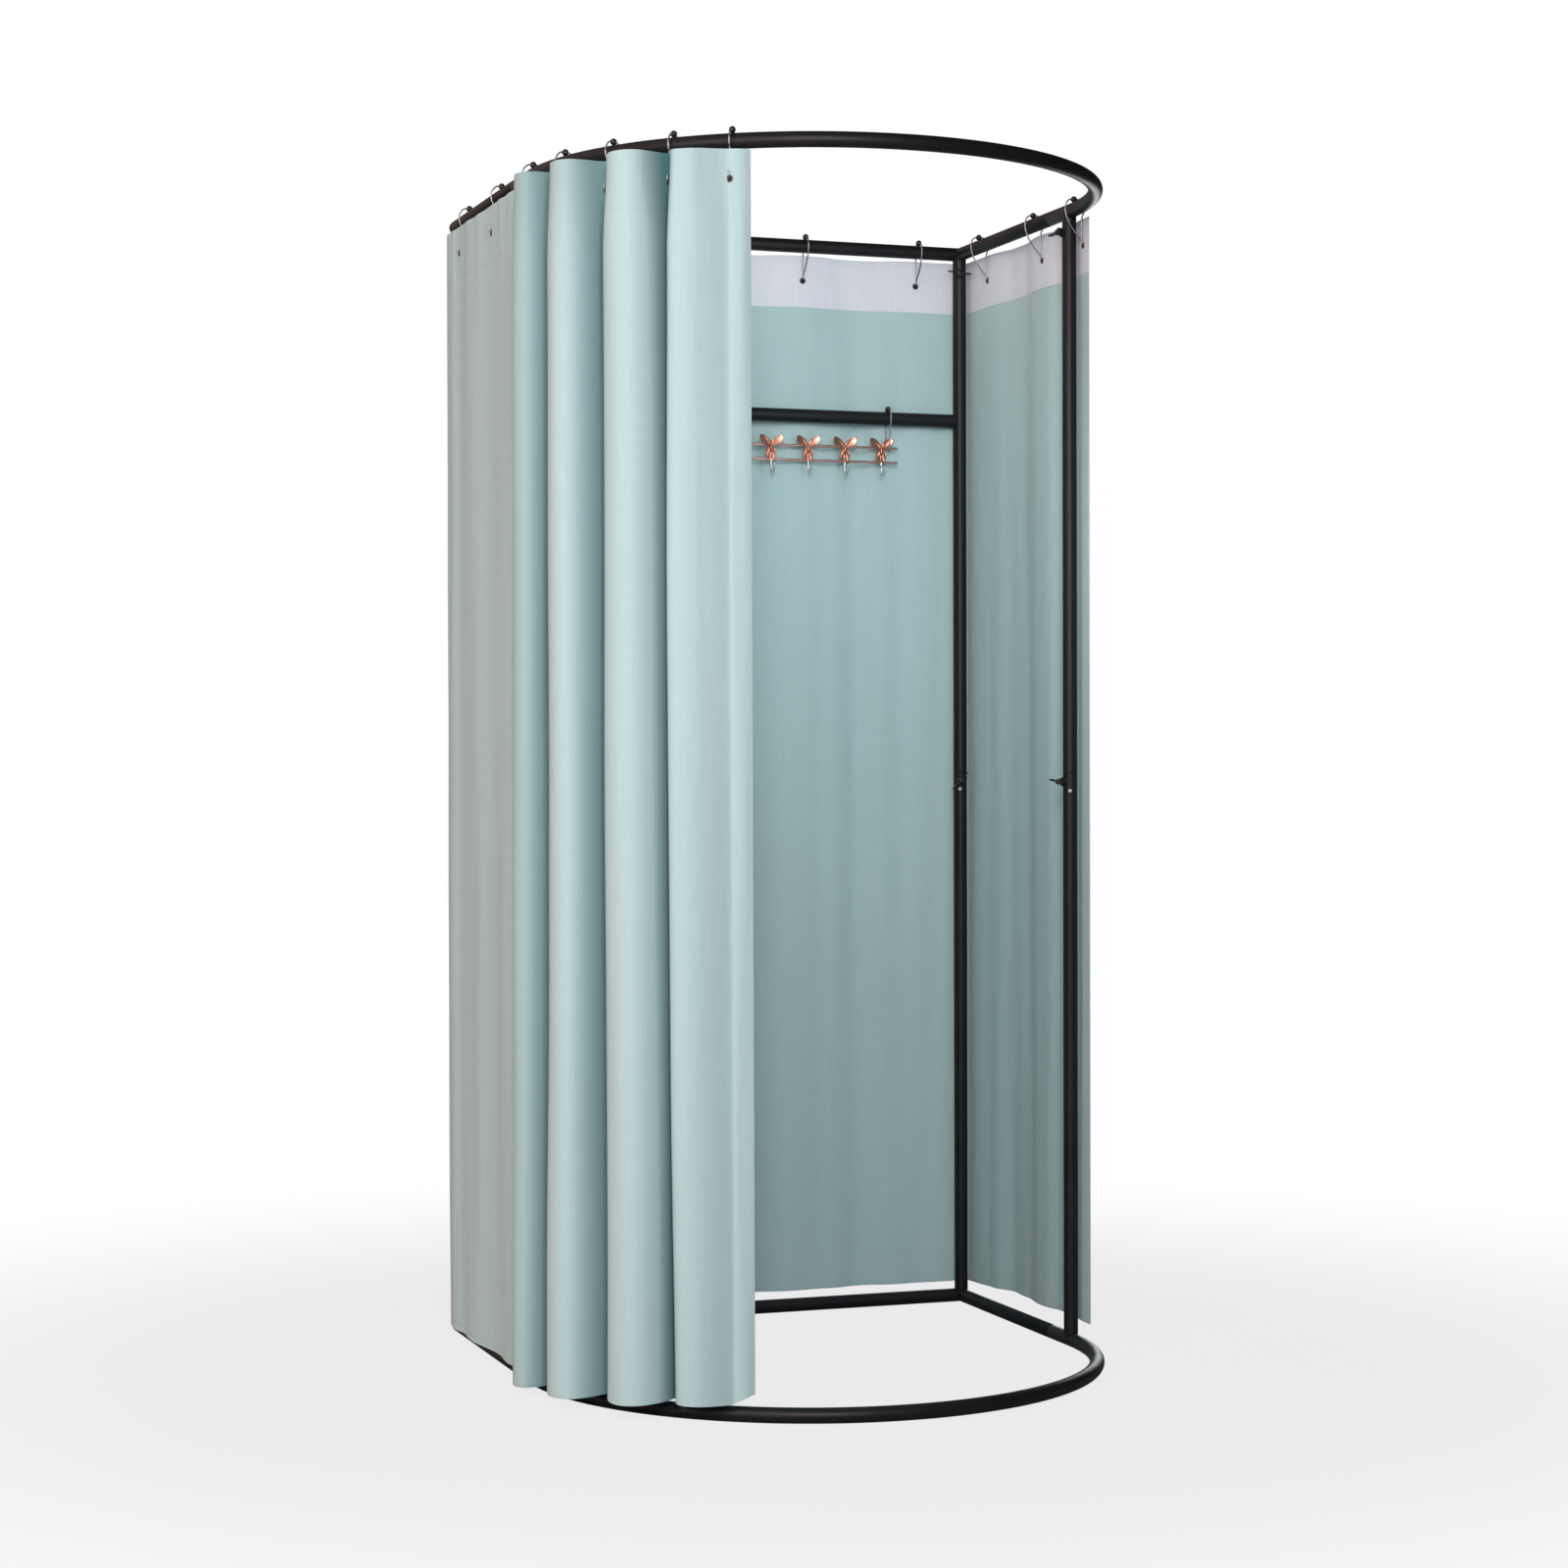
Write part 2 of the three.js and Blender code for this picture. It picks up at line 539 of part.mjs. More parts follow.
// Plan points of the cloth over one stretch between two hooks: a crest halfway, leaning along
// the rail, with sides steeper than the crest where the pinch is more than zero
function spanPoints(placeAt, span) {
  const points = [];
  for (let i = 0; i <= span.steps; i += 1) {
    const t = span.first + (span.last - span.first) * i / span.steps;
    const rise = Math.sin(Math.PI * t) ** 2;
    const squeezed = t - span.pinch * Math.sin(2 * Math.PI * t) / (2 * Math.PI);
    const along = span.from + (span.to - span.from) * squeezed + span.lean * rise;
    const place = placeAt(along);
    const reach = CLOTH_OFFSET + span.depth * rise - span.curl * t * t;
    points.push(place.rail.clone().addScaledVector(place.out, reach));
  }
  return points;
}

function makeSpan(from, to, steps, extra = {}) {
  return { from, to, steps, depth: 0, pinch: 0, lean: 0, curl: 0, first: 0, last: 1, ends: false, ...extra };
}

// The plan line of a whole cloth, with its outward directions and the places where it is
// divided into moving lengths. It runs clockwise as seen from above.
function clothLine(placeAt, spans, runsBackwards) {
  const points = [];
  const breaks = [0];
  spans.forEach((span) => {
    points.push(...spanPoints(placeAt, span).slice(points.length > 0 ? 1 : 0));
    if (span.ends) breaks.push(points.length - 1);
  });
  if (runsBackwards) points.reverse();
  const last = points.length - 1;
  const cuts = runsBackwards ? breaks.map((place) => last - place).reverse() : breaks;
  const tangents = points.map((point, i) => (
    points[Math.min(i + 1, last)].clone().sub(points[Math.max(i - 1, 0)]).normalize()
  ));
  return { points, tangents, cuts };
}

// One length of a cloth as columns, drawn back by half a gap where it meets the next length
function clothLength(line, piece) {
  const from = line.cuts[piece];
  const to = line.cuts[piece + 1];
  const last = line.points.length - 1;
  const columns = [];
  for (let i = from; i <= to; i += 1) {
    const tangent = line.tangents[i];
    let shift = 0;
    if (i === from && from > 0) shift = FIT_GAP / 2;
    if (i === to && to < last) shift = -FIT_GAP / 2;
    columns.push({
      point: line.points[i].clone().addScaledVector(tangent, shift),
      out: at(-tangent.y, tangent.x, 0),
    });
  }
  return columns;
}

// A length of cloth: a thin wall over its plan columns, thicker at the header band and the hem
function clothSolid(columns, hemGap) {
  const half = CLOTH_THICKNESS / 2;
  const hemTop = hemGap + HEM_HEIGHT;
  const bandLow = CLOTH_TOP_Z - BAND_HEIGHT;
  const rows = [
    { z: hemGap, inner: half + HEM_THICKNESS },
    { z: hemTop, inner: half + HEM_THICKNESS },
    { z: hemTop + EDGE_STEP, inner: half },
    { z: bandLow - EDGE_STEP, inner: half },
    { z: bandLow, inner: half + BAND_THICKNESS },
    { z: CLOTH_TOP_Z, inner: half + BAND_THICKNESS },
  ];
  const positions = [];
  rows.forEach((row) => {
    columns.forEach(({ point, out }) => {
      const outer = point.clone().addScaledVector(out, half);
      const inner = point.clone().addScaledVector(out, -row.inner);
      positions.push(outer.x, outer.y, row.z, inner.x, inner.y, row.z);
    });
  });
  const count = columns.length;
  const outerAt = (row, column) => 2 * (row * count + column);
  const innerAt = (row, column) => 2 * (row * count + column) + 1;
  const index = [];
  const quad = (a, b, c, d) => index.push(a, c, b, a, d, c);
  const last = count - 1;
  for (let row = 0; row < rows.length - 1; row += 1) {
    for (let column = 0; column < last; column += 1) {
      const next = column + 1;
      quad(outerAt(row, column), outerAt(row, next), outerAt(row + 1, next), outerAt(row + 1, column));
      quad(innerAt(row, column), innerAt(row + 1, column), innerAt(row + 1, next), innerAt(row, next));
    }
    quad(outerAt(row, 0), outerAt(row + 1, 0), innerAt(row + 1, 0), innerAt(row, 0));
    quad(outerAt(row, last), innerAt(row, last), innerAt(row + 1, last), outerAt(row + 1, last));
  }
  const high = rows.length - 1;
  for (let column = 0; column < last; column += 1) {
    const next = column + 1;
    quad(outerAt(0, column), innerAt(0, column), innerAt(0, next), outerAt(0, next));
    quad(outerAt(high, column), outerAt(high, next), innerAt(high, next), innerAt(high, column));
  }
  const geometry = new THREE.BufferGeometry();
  geometry.setAttribute('position', new THREE.BufferAttribute(new Float32Array(positions), 3));
  geometry.setIndex(index);
  return toSolid(geometry);
}

// The hole in the cloth that the wire of a ring hook passes through. It reaches far enough out
// to clear the wire where a fold starts steeply.
function eyelet(place) {
  const inner = CLOTH_OFFSET - CLOTH_THICKNESS - BAND_THICKNESS;
  const outer = CLOTH_OFFSET + EYELET_RADIUS;
  const start = place.rail.clone().addScaledVector(place.out, inner).setZ(EYELET_Z);
  const end = place.rail.clone().addScaledVector(place.out, outer).setZ(EYELET_Z);
  return rod(start, end, EYELET_RADIUS, EYELET_SIDES);
}

function addCloth(name, line, piece, hemGap, places) {
  addPart(name, cut(clothSolid(clothLength(line, piece), hemGap), places.map(eyelet)), linen);
}

// Outline of a butterfly plate: X across, Y up, the upper bar at the origin
function plateOutline() {
  const rise = PLATE_RISE;
  const foot = RACK_BAR_SPACING + PLATE_LAP;
  const spot = (x, y) => [x * PLATE_WIDTH / 2, y * (y < 0 ? foot : rise)];
  const outline = new THREE.Shape();
  outline.moveTo(...spot(0, PLATE_NOTCH_SHARE));
  PLATE_EDGE_SHARES.forEach(([bendX, bendY, x, y]) => {
    outline.quadraticCurveTo(...spot(bendX, bendY), ...spot(x, y));
  });
  const starts = [[0, PLATE_NOTCH_SHARE], ...PLATE_EDGE_SHARES.map((edge) => edge.slice(2))];
  PLATE_EDGE_SHARES.map(([bendX, bendY], i) => [bendX, bendY, ...starts[i]]).reverse()
    .forEach(([bendX, bendY, x, y]) => {
      outline.quadraticCurveTo(...spot(-bendX, bendY), ...spot(-x, y));
    });
  return outline;
}

// A prong in front of its plate: down past the lower bar, forwards and up to a ball
function hookProng(frontY) {
  const low = -RACK_BAR_SPACING - PRONG_DROP;
  const bendZ = low + PRONG_BEND;
  const onBend = (angle) => at(
    0,
    frontY - PRONG_BEND * (1 - Math.cos(angle * DEGREE)),
    bendZ - PRONG_BEND * Math.sin(angle * DEGREE),
  );
  const tip = at(0, frontY - 2 * PRONG_BEND, bendZ + PRONG_TIP_RISE);
  const wire = bentWire([
    at(0, frontY, -RACK_BAR_SPACING),
    ...PRONG_ANGLES.map(onBend),
    tip,
  ], PRONG_DIAMETER / 2);
  const ball = new THREE.SphereGeometry(PRONG_BALL_DIAMETER / 2, BALL_SIDES, BALL_RINGS);
  ball.translate(tip.x, tip.y, tip.z);
  return fuse([wire, toSolid(ball)]);
}

// Hook of the rack: a butterfly plate just in front of both bars, a knob and a forward prong.
// X across, Z up, the upper bar at the origin.
function rackHook() {
  const plate = new THREE.ExtrudeGeometry(plateOutline(), {
    depth: PLATE_THICKNESS, bevelEnabled: false, curveSegments: PLATE_CURVE_STEPS,
  });
  plate.rotateX(Math.PI / 2);
  plate.translate(0, -RACK_BAR_RADIUS * Math.cos(Math.PI / RACK_BAR_SIDES) - FIT_GAP, 0);
  const frontY = -RACK_BAR_RADIUS - FIT_GAP - PLATE_THICKNESS / 2;
  const knob = new THREE.SphereGeometry(KNOB_DIAMETER / 2, BALL_SIDES, BALL_RINGS);
  knob.scale(1, KNOB_FLAT_SHARE, 1);
  const knobZ = -(RACK_BAR_SPACING + PLATE_LAP) * KNOB_DROP_SHARE;
  knob.translate(0, frontY - KNOB_DIAMETER * KNOB_SINK_SHARE, knobZ);
  return fuse([toSolid(plate), toSolid(knob), hookProng(frontY)]);
}

function addFrame() {
  const seatRadius = TUBE_RADIUS + FIT_GAP;
  addPart('top_front_arc', frontRing(HIGH_RING_Z, -1), steelPaint);
  addPart('bottom_front_arc', frontRing(LOW_RING_Z, 1), steelPaint);
  addPart('top_rear_frame', rearRing(HIGH_RING_Z, -1), steelPaint);
  addPart('bottom_rear_frame', rearRing(LOW_RING_Z, 1), steelPaint);
  const frontCores = [arcCore(LOW_RING_Z, seatRadius), arcCore(HIGH_RING_Z, seatRadius)];
  const rearCores = [LOW_RING_Z, HIGH_RING_Z].map((z) => rearCore(z, seatRadius, TAIL_LENGTH));
  const posts = [
    { name: 'front_left', side: -1, isBack: false },
    { name: 'front_right', side: 1, isBack: false },
    { name: 'back_left', side: -1, isBack: true },
    { name: 'back_right', side: 1, isBack: true },
  ];
  posts.forEach(({ name, side, isBack }, i) => {
    const y = isBack ? SIDE_LENGTH : 0;
    const cores = isBack ? rearCores : frontCores;
    const barSide = isBack ? -side : 0;
    const aim = boltAim(side, isBack);
    const x = side * ARC_RADIUS;
    addPart(`${name}_lower_post`, lowerPost(x, y, aim, cores[0]), steelPaint);
    addPart(`${name}_upper_post`, upperPost(x, y, aim, cores[1], barSide), steelPaint);
    const midZ = SEAM_HEIGHT - MID_BOLT_DROP;
    const topZ = HIGH_RING_Z - TOP_BOLT_DROP;
    placeWingBolt(`${name}_mid_wing_bolt`, x, y, midZ, aim, WING_TURNS[2 * i]);
    placeWingBolt(`${name}_top_wing_bolt`, x, y, topZ, aim, WING_TURNS[2 * i + 1]);
  });
  addPart('crossbar', crossbar(), steelPaint);
}

// The left and door cloth is one cloth. Its door end is divided just past each hook into the
// lengths that travel along the rail.
function addLeftAndDoorCloth() {
  const placeAt = (distance) => sidePlace(distance, -1);
  const sideHooks = LEFT_HOOK_SHARES.map((share) => share * SIDE_LENGTH);
  const doorHooks = DOOR_HOOK_ANGLES.map((angle) => SIDE_LENGTH + (180 - angle) * DEGREE * CLOTH_RADIUS);
  const still = [-CLOTH_REAR_LAP, ...sideHooks, doorHooks[0]];
  const spans = still.slice(1).map((to, i) => makeSpan(still[i], to, WAVE_STEPS, { depth: LEFT_WAVE }));
  FOLD_DEPTHS.forEach((depth, i) => {
    const fold = { depth, lean: FOLD_LEANS[i], pinch: FOLD_PINCHES[i] };
    const [from, to] = [doorHooks[i], doorHooks[i + 1]];
    spans.push(makeSpan(from, to, SPLIT_STEPS, { ...fold, last: FOLD_SPLIT, ends: true }));
    spans.push(makeSpan(from, to, FOLD_STEPS, { ...fold, first: FOLD_SPLIT }));
  });
  const lastHook = doorHooks[doorHooks.length - 1];
  spans.push(makeSpan(lastHook, lastHook + LEADING_FLAP, FLAP_STEPS, { curl: FLAP_CURL, ends: true }));
  const line = clothLine(placeAt, spans, true);
  const pieces = FOLD_DEPTHS.length;
  FOLD_DEPTHS.forEach((depth, i) => {
    const hook = placeAt(doorHooks[i + 1]);
    addCloth(`door_fold_${i + 1}`, line, pieces - 1 - i, DOOR_HEM_GAP, [hook]);
  });
  const stillPlaces = [...sideHooks, doorHooks[0]].map(placeAt);
  addCloth('left_curtain', line, pieces, DOOR_HEM_GAP, stillPlaces);
  [...sideHooks, ...doorHooks].forEach((distance, i) => {
    const name = i < still.length - 1 ? `left_ring_hook_${i + 1}` : `door_ring_hook_${i - still.length + 2}`;
    placeClothHook(name, placeAt(distance));
  });
}

// The back and right cloth is one cloth too, divided at the back right post
function addBackAndRightCloth() {
  const corner = FRAME_WIDTH + CORNER_LENGTH / 2;
  const side = FRAME_WIDTH + CORNER_LENGTH;
  const backHooks = BACK_HOOK_SHARES.map((share) => share * FRAME_WIDTH);
  const lapHook = side + SIDE_LENGTH + LAP_HOOK_ANGLE * DEGREE * CLOTH_RADIUS;
  const sideHooks = [...RIGHT_HOOK_SHARES.map((share) => side + share * SIDE_LENGTH), lapHook];
  const soft = { depth: SOFT_WAVE };
  const stops = [0, ...backHooks];
  const spans = stops.slice(1).map((to, i) => makeSpan(stops[i], to, WAVE_STEPS, soft));
  spans.push(makeSpan(backHooks[backHooks.length - 1], FRAME_WIDTH, FLAP_STEPS));
  spans.push(makeSpan(FRAME_WIDTH, corner, CORNER_STEPS / 2, { ends: true }));
  spans.push(makeSpan(corner, side, CORNER_STEPS / 2));
  spans.push(makeSpan(side, sideHooks[0], FLAP_STEPS));
  sideHooks.slice(1).forEach((to, i) => spans.push(makeSpan(sideHooks[i], to, WAVE_STEPS, soft)));
  const end = side + SIDE_LENGTH + RIGHT_LAP;
  spans.push(makeSpan(lapHook, end, FLAP_STEPS, { ends: true }));
  const line = clothLine(backPlace, spans, false);
  addCloth('back_curtain', line, 0, BACK_HEM_GAP, backHooks.map(backPlace));
  addCloth('right_curtain', line, 1, BACK_HEM_GAP, sideHooks.map(backPlace));
  backHooks.forEach((distance, i) => {
    placeClothHook(`back_ring_hook_${i + 1}`, backPlace(distance));
  });
  sideHooks.forEach((distance, i) => {
    placeClothHook(`right_ring_hook_${i + 1}`, backPlace(distance));
  });
}

// Two bars joined by the hook plates, hung from the crossbar by two ring hooks
function addHookRack() {
  const y = SIDE_LENGTH;
  const [left, right] = [-1, 1].map((side) => RACK_OFFSET + side * RACK_LENGTH / 2);
  [['rack_upper_bar', RACK_TOP_Z], ['rack_lower_bar', RACK_LOW_Z]].forEach(([name, z]) => {
    addPart(name, rod(at(left, y, z), at(right, y, z), RACK_BAR_RADIUS, RACK_BAR_SIDES), copper);
  });
  const middle = (HOOK_PLATE_COUNT - 1) / 2;
  for (let i = 0; i < HOOK_PLATE_COUNT; i += 1) {
    const hook = addPart(`rack_hook_${i + 1}`, rackHook(), copper);
    hook.position.set(RACK_OFFSET + (i - middle) * HOOK_PLATE_SPACING, y, RACK_TOP_Z);
  }
  [['rack_hanger_left', -1], ['rack_hanger_right', 1]].forEach(([name, side]) => {
    const reach = middle * HOOK_PLATE_SPACING + HANGER_PLACE_SHARE * PLATE_WIDTH;
    const rail = at(RACK_OFFSET + side * reach, y, 0);
    placeHook(name, { rail, out: at(0, 1, 0) }, CROSSBAR_Z, 0, RACK_EYE_RADIUS, RACK_LOOP_RADIUS);
  });
}

addFrame();
addLeftAndDoorCloth();
addBackAndRightCloth();
addHookRack();

// The origin is on the floor under the middle of the whole
room.updateMatrixWorld(true);
const box = new THREE.Box3().setFromObject(room);
const middle = box.getCenter(at(0, 0, 0));
room.position.set(-middle.x, -middle.y, -box.min.z);
room.updateMatrixWorld(true);

export default room;
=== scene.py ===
import math

import bmesh
import bpy
import numpy as np
from mathutils import Matrix, Vector


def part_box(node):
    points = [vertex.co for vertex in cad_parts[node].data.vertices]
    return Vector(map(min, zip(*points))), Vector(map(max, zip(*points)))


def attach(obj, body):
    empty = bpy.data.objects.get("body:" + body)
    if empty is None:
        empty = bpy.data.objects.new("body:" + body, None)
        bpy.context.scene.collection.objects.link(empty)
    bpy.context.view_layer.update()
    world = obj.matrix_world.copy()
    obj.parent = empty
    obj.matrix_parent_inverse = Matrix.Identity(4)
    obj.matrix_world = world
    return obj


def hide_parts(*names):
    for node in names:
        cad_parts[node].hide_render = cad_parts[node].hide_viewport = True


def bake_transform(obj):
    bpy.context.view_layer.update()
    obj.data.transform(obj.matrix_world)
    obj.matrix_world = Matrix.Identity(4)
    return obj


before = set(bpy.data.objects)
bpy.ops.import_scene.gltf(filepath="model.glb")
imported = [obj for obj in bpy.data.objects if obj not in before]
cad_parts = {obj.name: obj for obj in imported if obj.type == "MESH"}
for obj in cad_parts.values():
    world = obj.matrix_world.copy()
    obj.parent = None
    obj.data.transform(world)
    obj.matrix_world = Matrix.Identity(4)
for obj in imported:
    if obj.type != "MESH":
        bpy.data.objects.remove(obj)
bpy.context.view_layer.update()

# -------- sizes, in metres

RING_RADIUS = 0.4875         # of the half circle, and half the distance between the posts
SIDE = 0.5                   # between the front and back posts
WIDTH = 2 * RING_RADIUS
HEIGHT = 2.0
TUBE = 0.0125                # radius of every frame tube
TUBE_SIDES = 36
TUBE_EDGE = 0.0006           # rounding of a cut tube end
RAIL_TOP = 0.01207           # top facet of a ring's tube above its axis
LOW_RING = RAIL_TOP
HIGH_RING = HEIGHT - RAIL_TOP
TAIL = 0.0766                # straight tail at each end of a front half ring
MITRE = 0.0009               # rounding of a mitred corner
SEAM = 1.005                 # height where an upper post meets a lower one
SEAM_GAP = 0.0005
NECK_LOW = 0.02              # reduced end of an upper post, below the seam
NECK_HIGH = 0.01
NECK_STEP = 0.0014
CROSSBAR = 1.672             # height
CROSSBAR_INSET = 0.0085      # its end from the post's axis
MID_BOLT = 0.990             # heights of the wing bolts
TOP_BOLT = HIGH_RING - 0.0375
BACK_BOLT_TURN = math.radians(22)

PIN_HEIGHT = 0.974           # snap pin just under the seam, pale grey: partly its own colour, partly a painted glint
PIN_RADIUS = 0.0034
PIN_SINK = 0.0009
PIN_AIM = Vector((-0.42, -0.9, 0)).normalized()

NUT_RADIUS = 0.0075
NUT_CHAMFER = 0.0007
NUT_BASE = 0.011             # from the post's axis
NUT_TOP = TUBE + 0.005
WELD_RADIUS = 0.0074
WELD = 0.0012                # radius of the bead's section
WELD_RIPPLE = 0.0002

BOLT_TIP = 0.0052            # end of the shank from the post's axis
BOLT_SEAT = TUBE + 0.0053
BOLT_CROWN = BOLT_SEAT + 0.009
SHANK = 0.003                # radii
HUB = 0.0055
WING_START = 0.002           # a wing's reach from the bolt's axis
WING_SPAN = 0.0205
WING_ROUND = 0.006           # length of its round tip
WING_POINTS = (26, 20)       # along it and round it

HOOK_DROP = 0.0595           # lowest point of a hook's wire under the rail's axis
WIRE = 0.00125
BEAD = 0.0055
BEAD_HEIGHT = RAIL_TOP + 0.0003 + BEAD
RACK_LOOP_RADIUS = 0.015
RACK_EYE_RADIUS = 0.007

CLOTH_OFFSET = 0.0178        # post centre to the middle of the cloth
CLOTH_RADIUS = RING_RADIUS + CLOTH_OFFSET
CLOTH_TOP = HIGH_RING - 0.0150
CLOTH_HALF = 0.0004
CLOTH_ROWS = 120
BAND = 0.096
HEM = 0.026
HEM_FOLD = 0.0005            # extra cloth where the hem is turned in
TAPE_GAP = 0.0001
TAPE_FACE = 0.0007
BACK_NEAREST = 0.0184        # back cloth from the rail's axis, clear of the rack hangers
CLOTH_EASE = 0.0012          # rounding where the cloth is held off
CORNER = CLOTH_OFFSET * math.pi / 2

EYELET = 0.0048              # radius, and that of its rolled rim
EYELET_RIM = 0.0013
EYELET_LIFT = WIRE - 0.0032  # its centre from the wire's lowest point

RACK_MIDDLE = 0.1435
RACK_LENGTH = 0.433
RACK_BAR = 0.002
RACK_ROD = 0.0025            # the bars' radius with their plating
RACK_BAR_DROP = 0.027
PLATE_SPACING = 0.073
PLATE_COUNT = 6
PLATE_HALF_WIDTH = 0.024
PLATE_RISE = 0.019
PLATE_FOOT = RACK_BAR_DROP + 0.004
PLATE_BOW = 0.004            # of the wings' tips, and from the upper bar to a plate's middle
PLATE_RIB = 0.00045
KNOB = 0.0034
KNOB_DROP = 0.0061           # knob under the upper bar
PRONG = 0.0013
PRONG_BALL = 0.00275
PRONG_BEND = 0.009
PRONG_DROP = 0.026           # lowest point under the lower bar
PRONG_LEAD = 0.006
PRONG_END = 0.007

# The middle of the front half circle, on the floor
left_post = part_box("front_left_lower_post")
right_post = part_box("front_right_lower_post")
MIDDLE = np.array([
    (left_post[0][0] + right_post[1][0]) / 2,
    (left_post[0][1] + left_post[1][1]) / 2,
    0.0,
])
RACK_TOP = (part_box("rack_upper_bar")[0][2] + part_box("rack_upper_bar")[1][2]) / 2

# -------- camera

CAMERA_PLACE = MIDDLE + np.array([-1.834, -5.0785, 1.0221])
CAMERA_AIM = Vector((0.3324, 0.9431, -0.0063)).normalized()
CAMERA_ROLL = 0.0022
CAMERA_LENS = 72.86


def make_camera():
    """Camera at the photograph's place, with its small roll."""
    camera = bpy.data.objects.new("camera", bpy.data.cameras.new("camera"))
    camera.data.sensor_fit = "HORIZONTAL"
    camera.data.sensor_width = 36
    camera.data.lens = CAMERA_LENS
    across = CAMERA_AIM.cross(Vector((0, 0, 1))).normalized()
    above = across.cross(CAMERA_AIM)
    up = above * math.cos(CAMERA_ROLL) + across * math.sin(CAMERA_ROLL)
    right = CAMERA_AIM.cross(up).normalized()
    turn = Matrix((right, up, -CAMERA_AIM)).transposed().to_4x4()
    camera.matrix_world = Matrix.Translation(Vector(CAMERA_PLACE)) @ turn
    bpy.context.scene.collection.objects.link(camera)
    bpy.context.scene.camera = camera


make_camera()

# -------- finishes


def from_screen(red, green, blue):
    """Scene-linear colour of a screen colour given in 0 to 255."""
    shares = np.array([red, green, blue]) / 255
    low = shares / 12.92
    high = ((shares + 0.055) / 1.055) ** 2.4
    return tuple(np.where(shares <= 0.04045, low, high)) + (1.0,)


class Wire:
    """One output socket of a shader node. Arithmetic on it adds Math nodes."""

    def __init__(self, nodes, socket):
        self.nodes = nodes
        self.socket = socket

    def math(self, operation, *others):
        return self.nodes.node("ShaderNodeMath", {"operation": operation}, dict(enumerate((self, *others))))

    def __add__(self, other):
        return self.math("ADD", other)

    def __sub__(self, other):
        return self.math("SUBTRACT", other)

    def __rsub__(self, other):
        return self.nodes.node("ShaderNodeMath", {"operation": "SUBTRACT"}, {0: other, 1: self})

    def __mul__(self, other):
        return self.math("MULTIPLY", other)

    def between(self, low, high, first=0.0, last=1.0):
        """first below low, last above high, and a smooth step between them."""
        inputs = {0: self, 1: low, 2: high, 3: first, 4: last}
        return self.nodes.node("ShaderNodeMapRange", {"interpolation_type": "SMOOTHSTEP"}, inputs)


class NodeTree:
    """A node tree whose nodes are written as expressions."""

    def __init__(self, tree):
        self.tree = tree

    def plug(self, socket, value):
        if isinstance(value, Wire):
            self.tree.links.new(value.socket, socket)
        else:
            socket.default_value = value

    def node(self, kind, settings, inputs, output=0):
        """Adds a node: its settings first, then the values or links of its sockets."""
        node = self.tree.nodes.new(kind)
        for key, value in settings.items():
            setattr(node, key, value)
        for key, value in inputs.items():
            self.plug(node.inputs[key], value)
        return Wire(self, node.outputs[output])

    def mix(self, share, first, second):
        return self.node("ShaderNodeMix", {"data_type": "RGBA"}, {0: share, 6: first, 7: second}, 2)

    def whiten_for_camera(self, lit, white, share, end):
        """Sends the lit shader to the end node. The camera sees this share of the white one."""
        seen = self.node("ShaderNodeLightPath", {}, {}, "Is Camera Ray") * share
        both = self.node("ShaderNodeMixShader", {}, {0: seen, 1: lit, 2: white})
        self.plug(self.tree.nodes[end].inputs[0], both)


class Finish(NodeTree):
    """A material with one principled shader."""

    def __init__(self, name, roughness=0.5, metallic=0.0, color=(0.5, 0.5, 0.5, 1.0), **sockets):
        self.material = bpy.data.materials.new(name)
        self.material.use_nodes = True
        super().__init__(self.material.node_tree)
        self.shader = self.tree.nodes["Principled BSDF"]
        self.set("Roughness", roughness)
        self.set("Metallic", metallic)
        self.set("Base Color", color)
        for key, value in sockets.items():
            self.set(key.replace("_", " "), value)

    def set(self, name, value):
        self.plug(self.shader.inputs[name], value)

    def place(self):
        return self.node("ShaderNodeTexCoord", {}, {}, "Object")

    def cloth_place(self):
        return self.node("ShaderNodeUVMap", {"uv_map": "cloth"}, {})

    def parts(self, vector):
        split = self.node("ShaderNodeSeparateXYZ", {}, {0: vector})
        return [Wire(self, split.socket.node.outputs[i]) for i in range(3)]

    def stretched(self, vector, x, y, z=1.0):
        return self.node("ShaderNodeVectorMath", {"operation": "MULTIPLY"}, {0: vector, 1: (x, y, z)})

    def noise(self, vector, scale, detail=2.0):
        return self.node("ShaderNodeTexNoise", {}, {"Vector": vector, "Scale": scale, "Detail": detail})

    def bump(self, height, distance, strength=1.0):
        inputs = {"Height": height, "Distance": distance, "Strength": strength}
        self.set("Normal", self.node("ShaderNodeBump", {}, inputs))


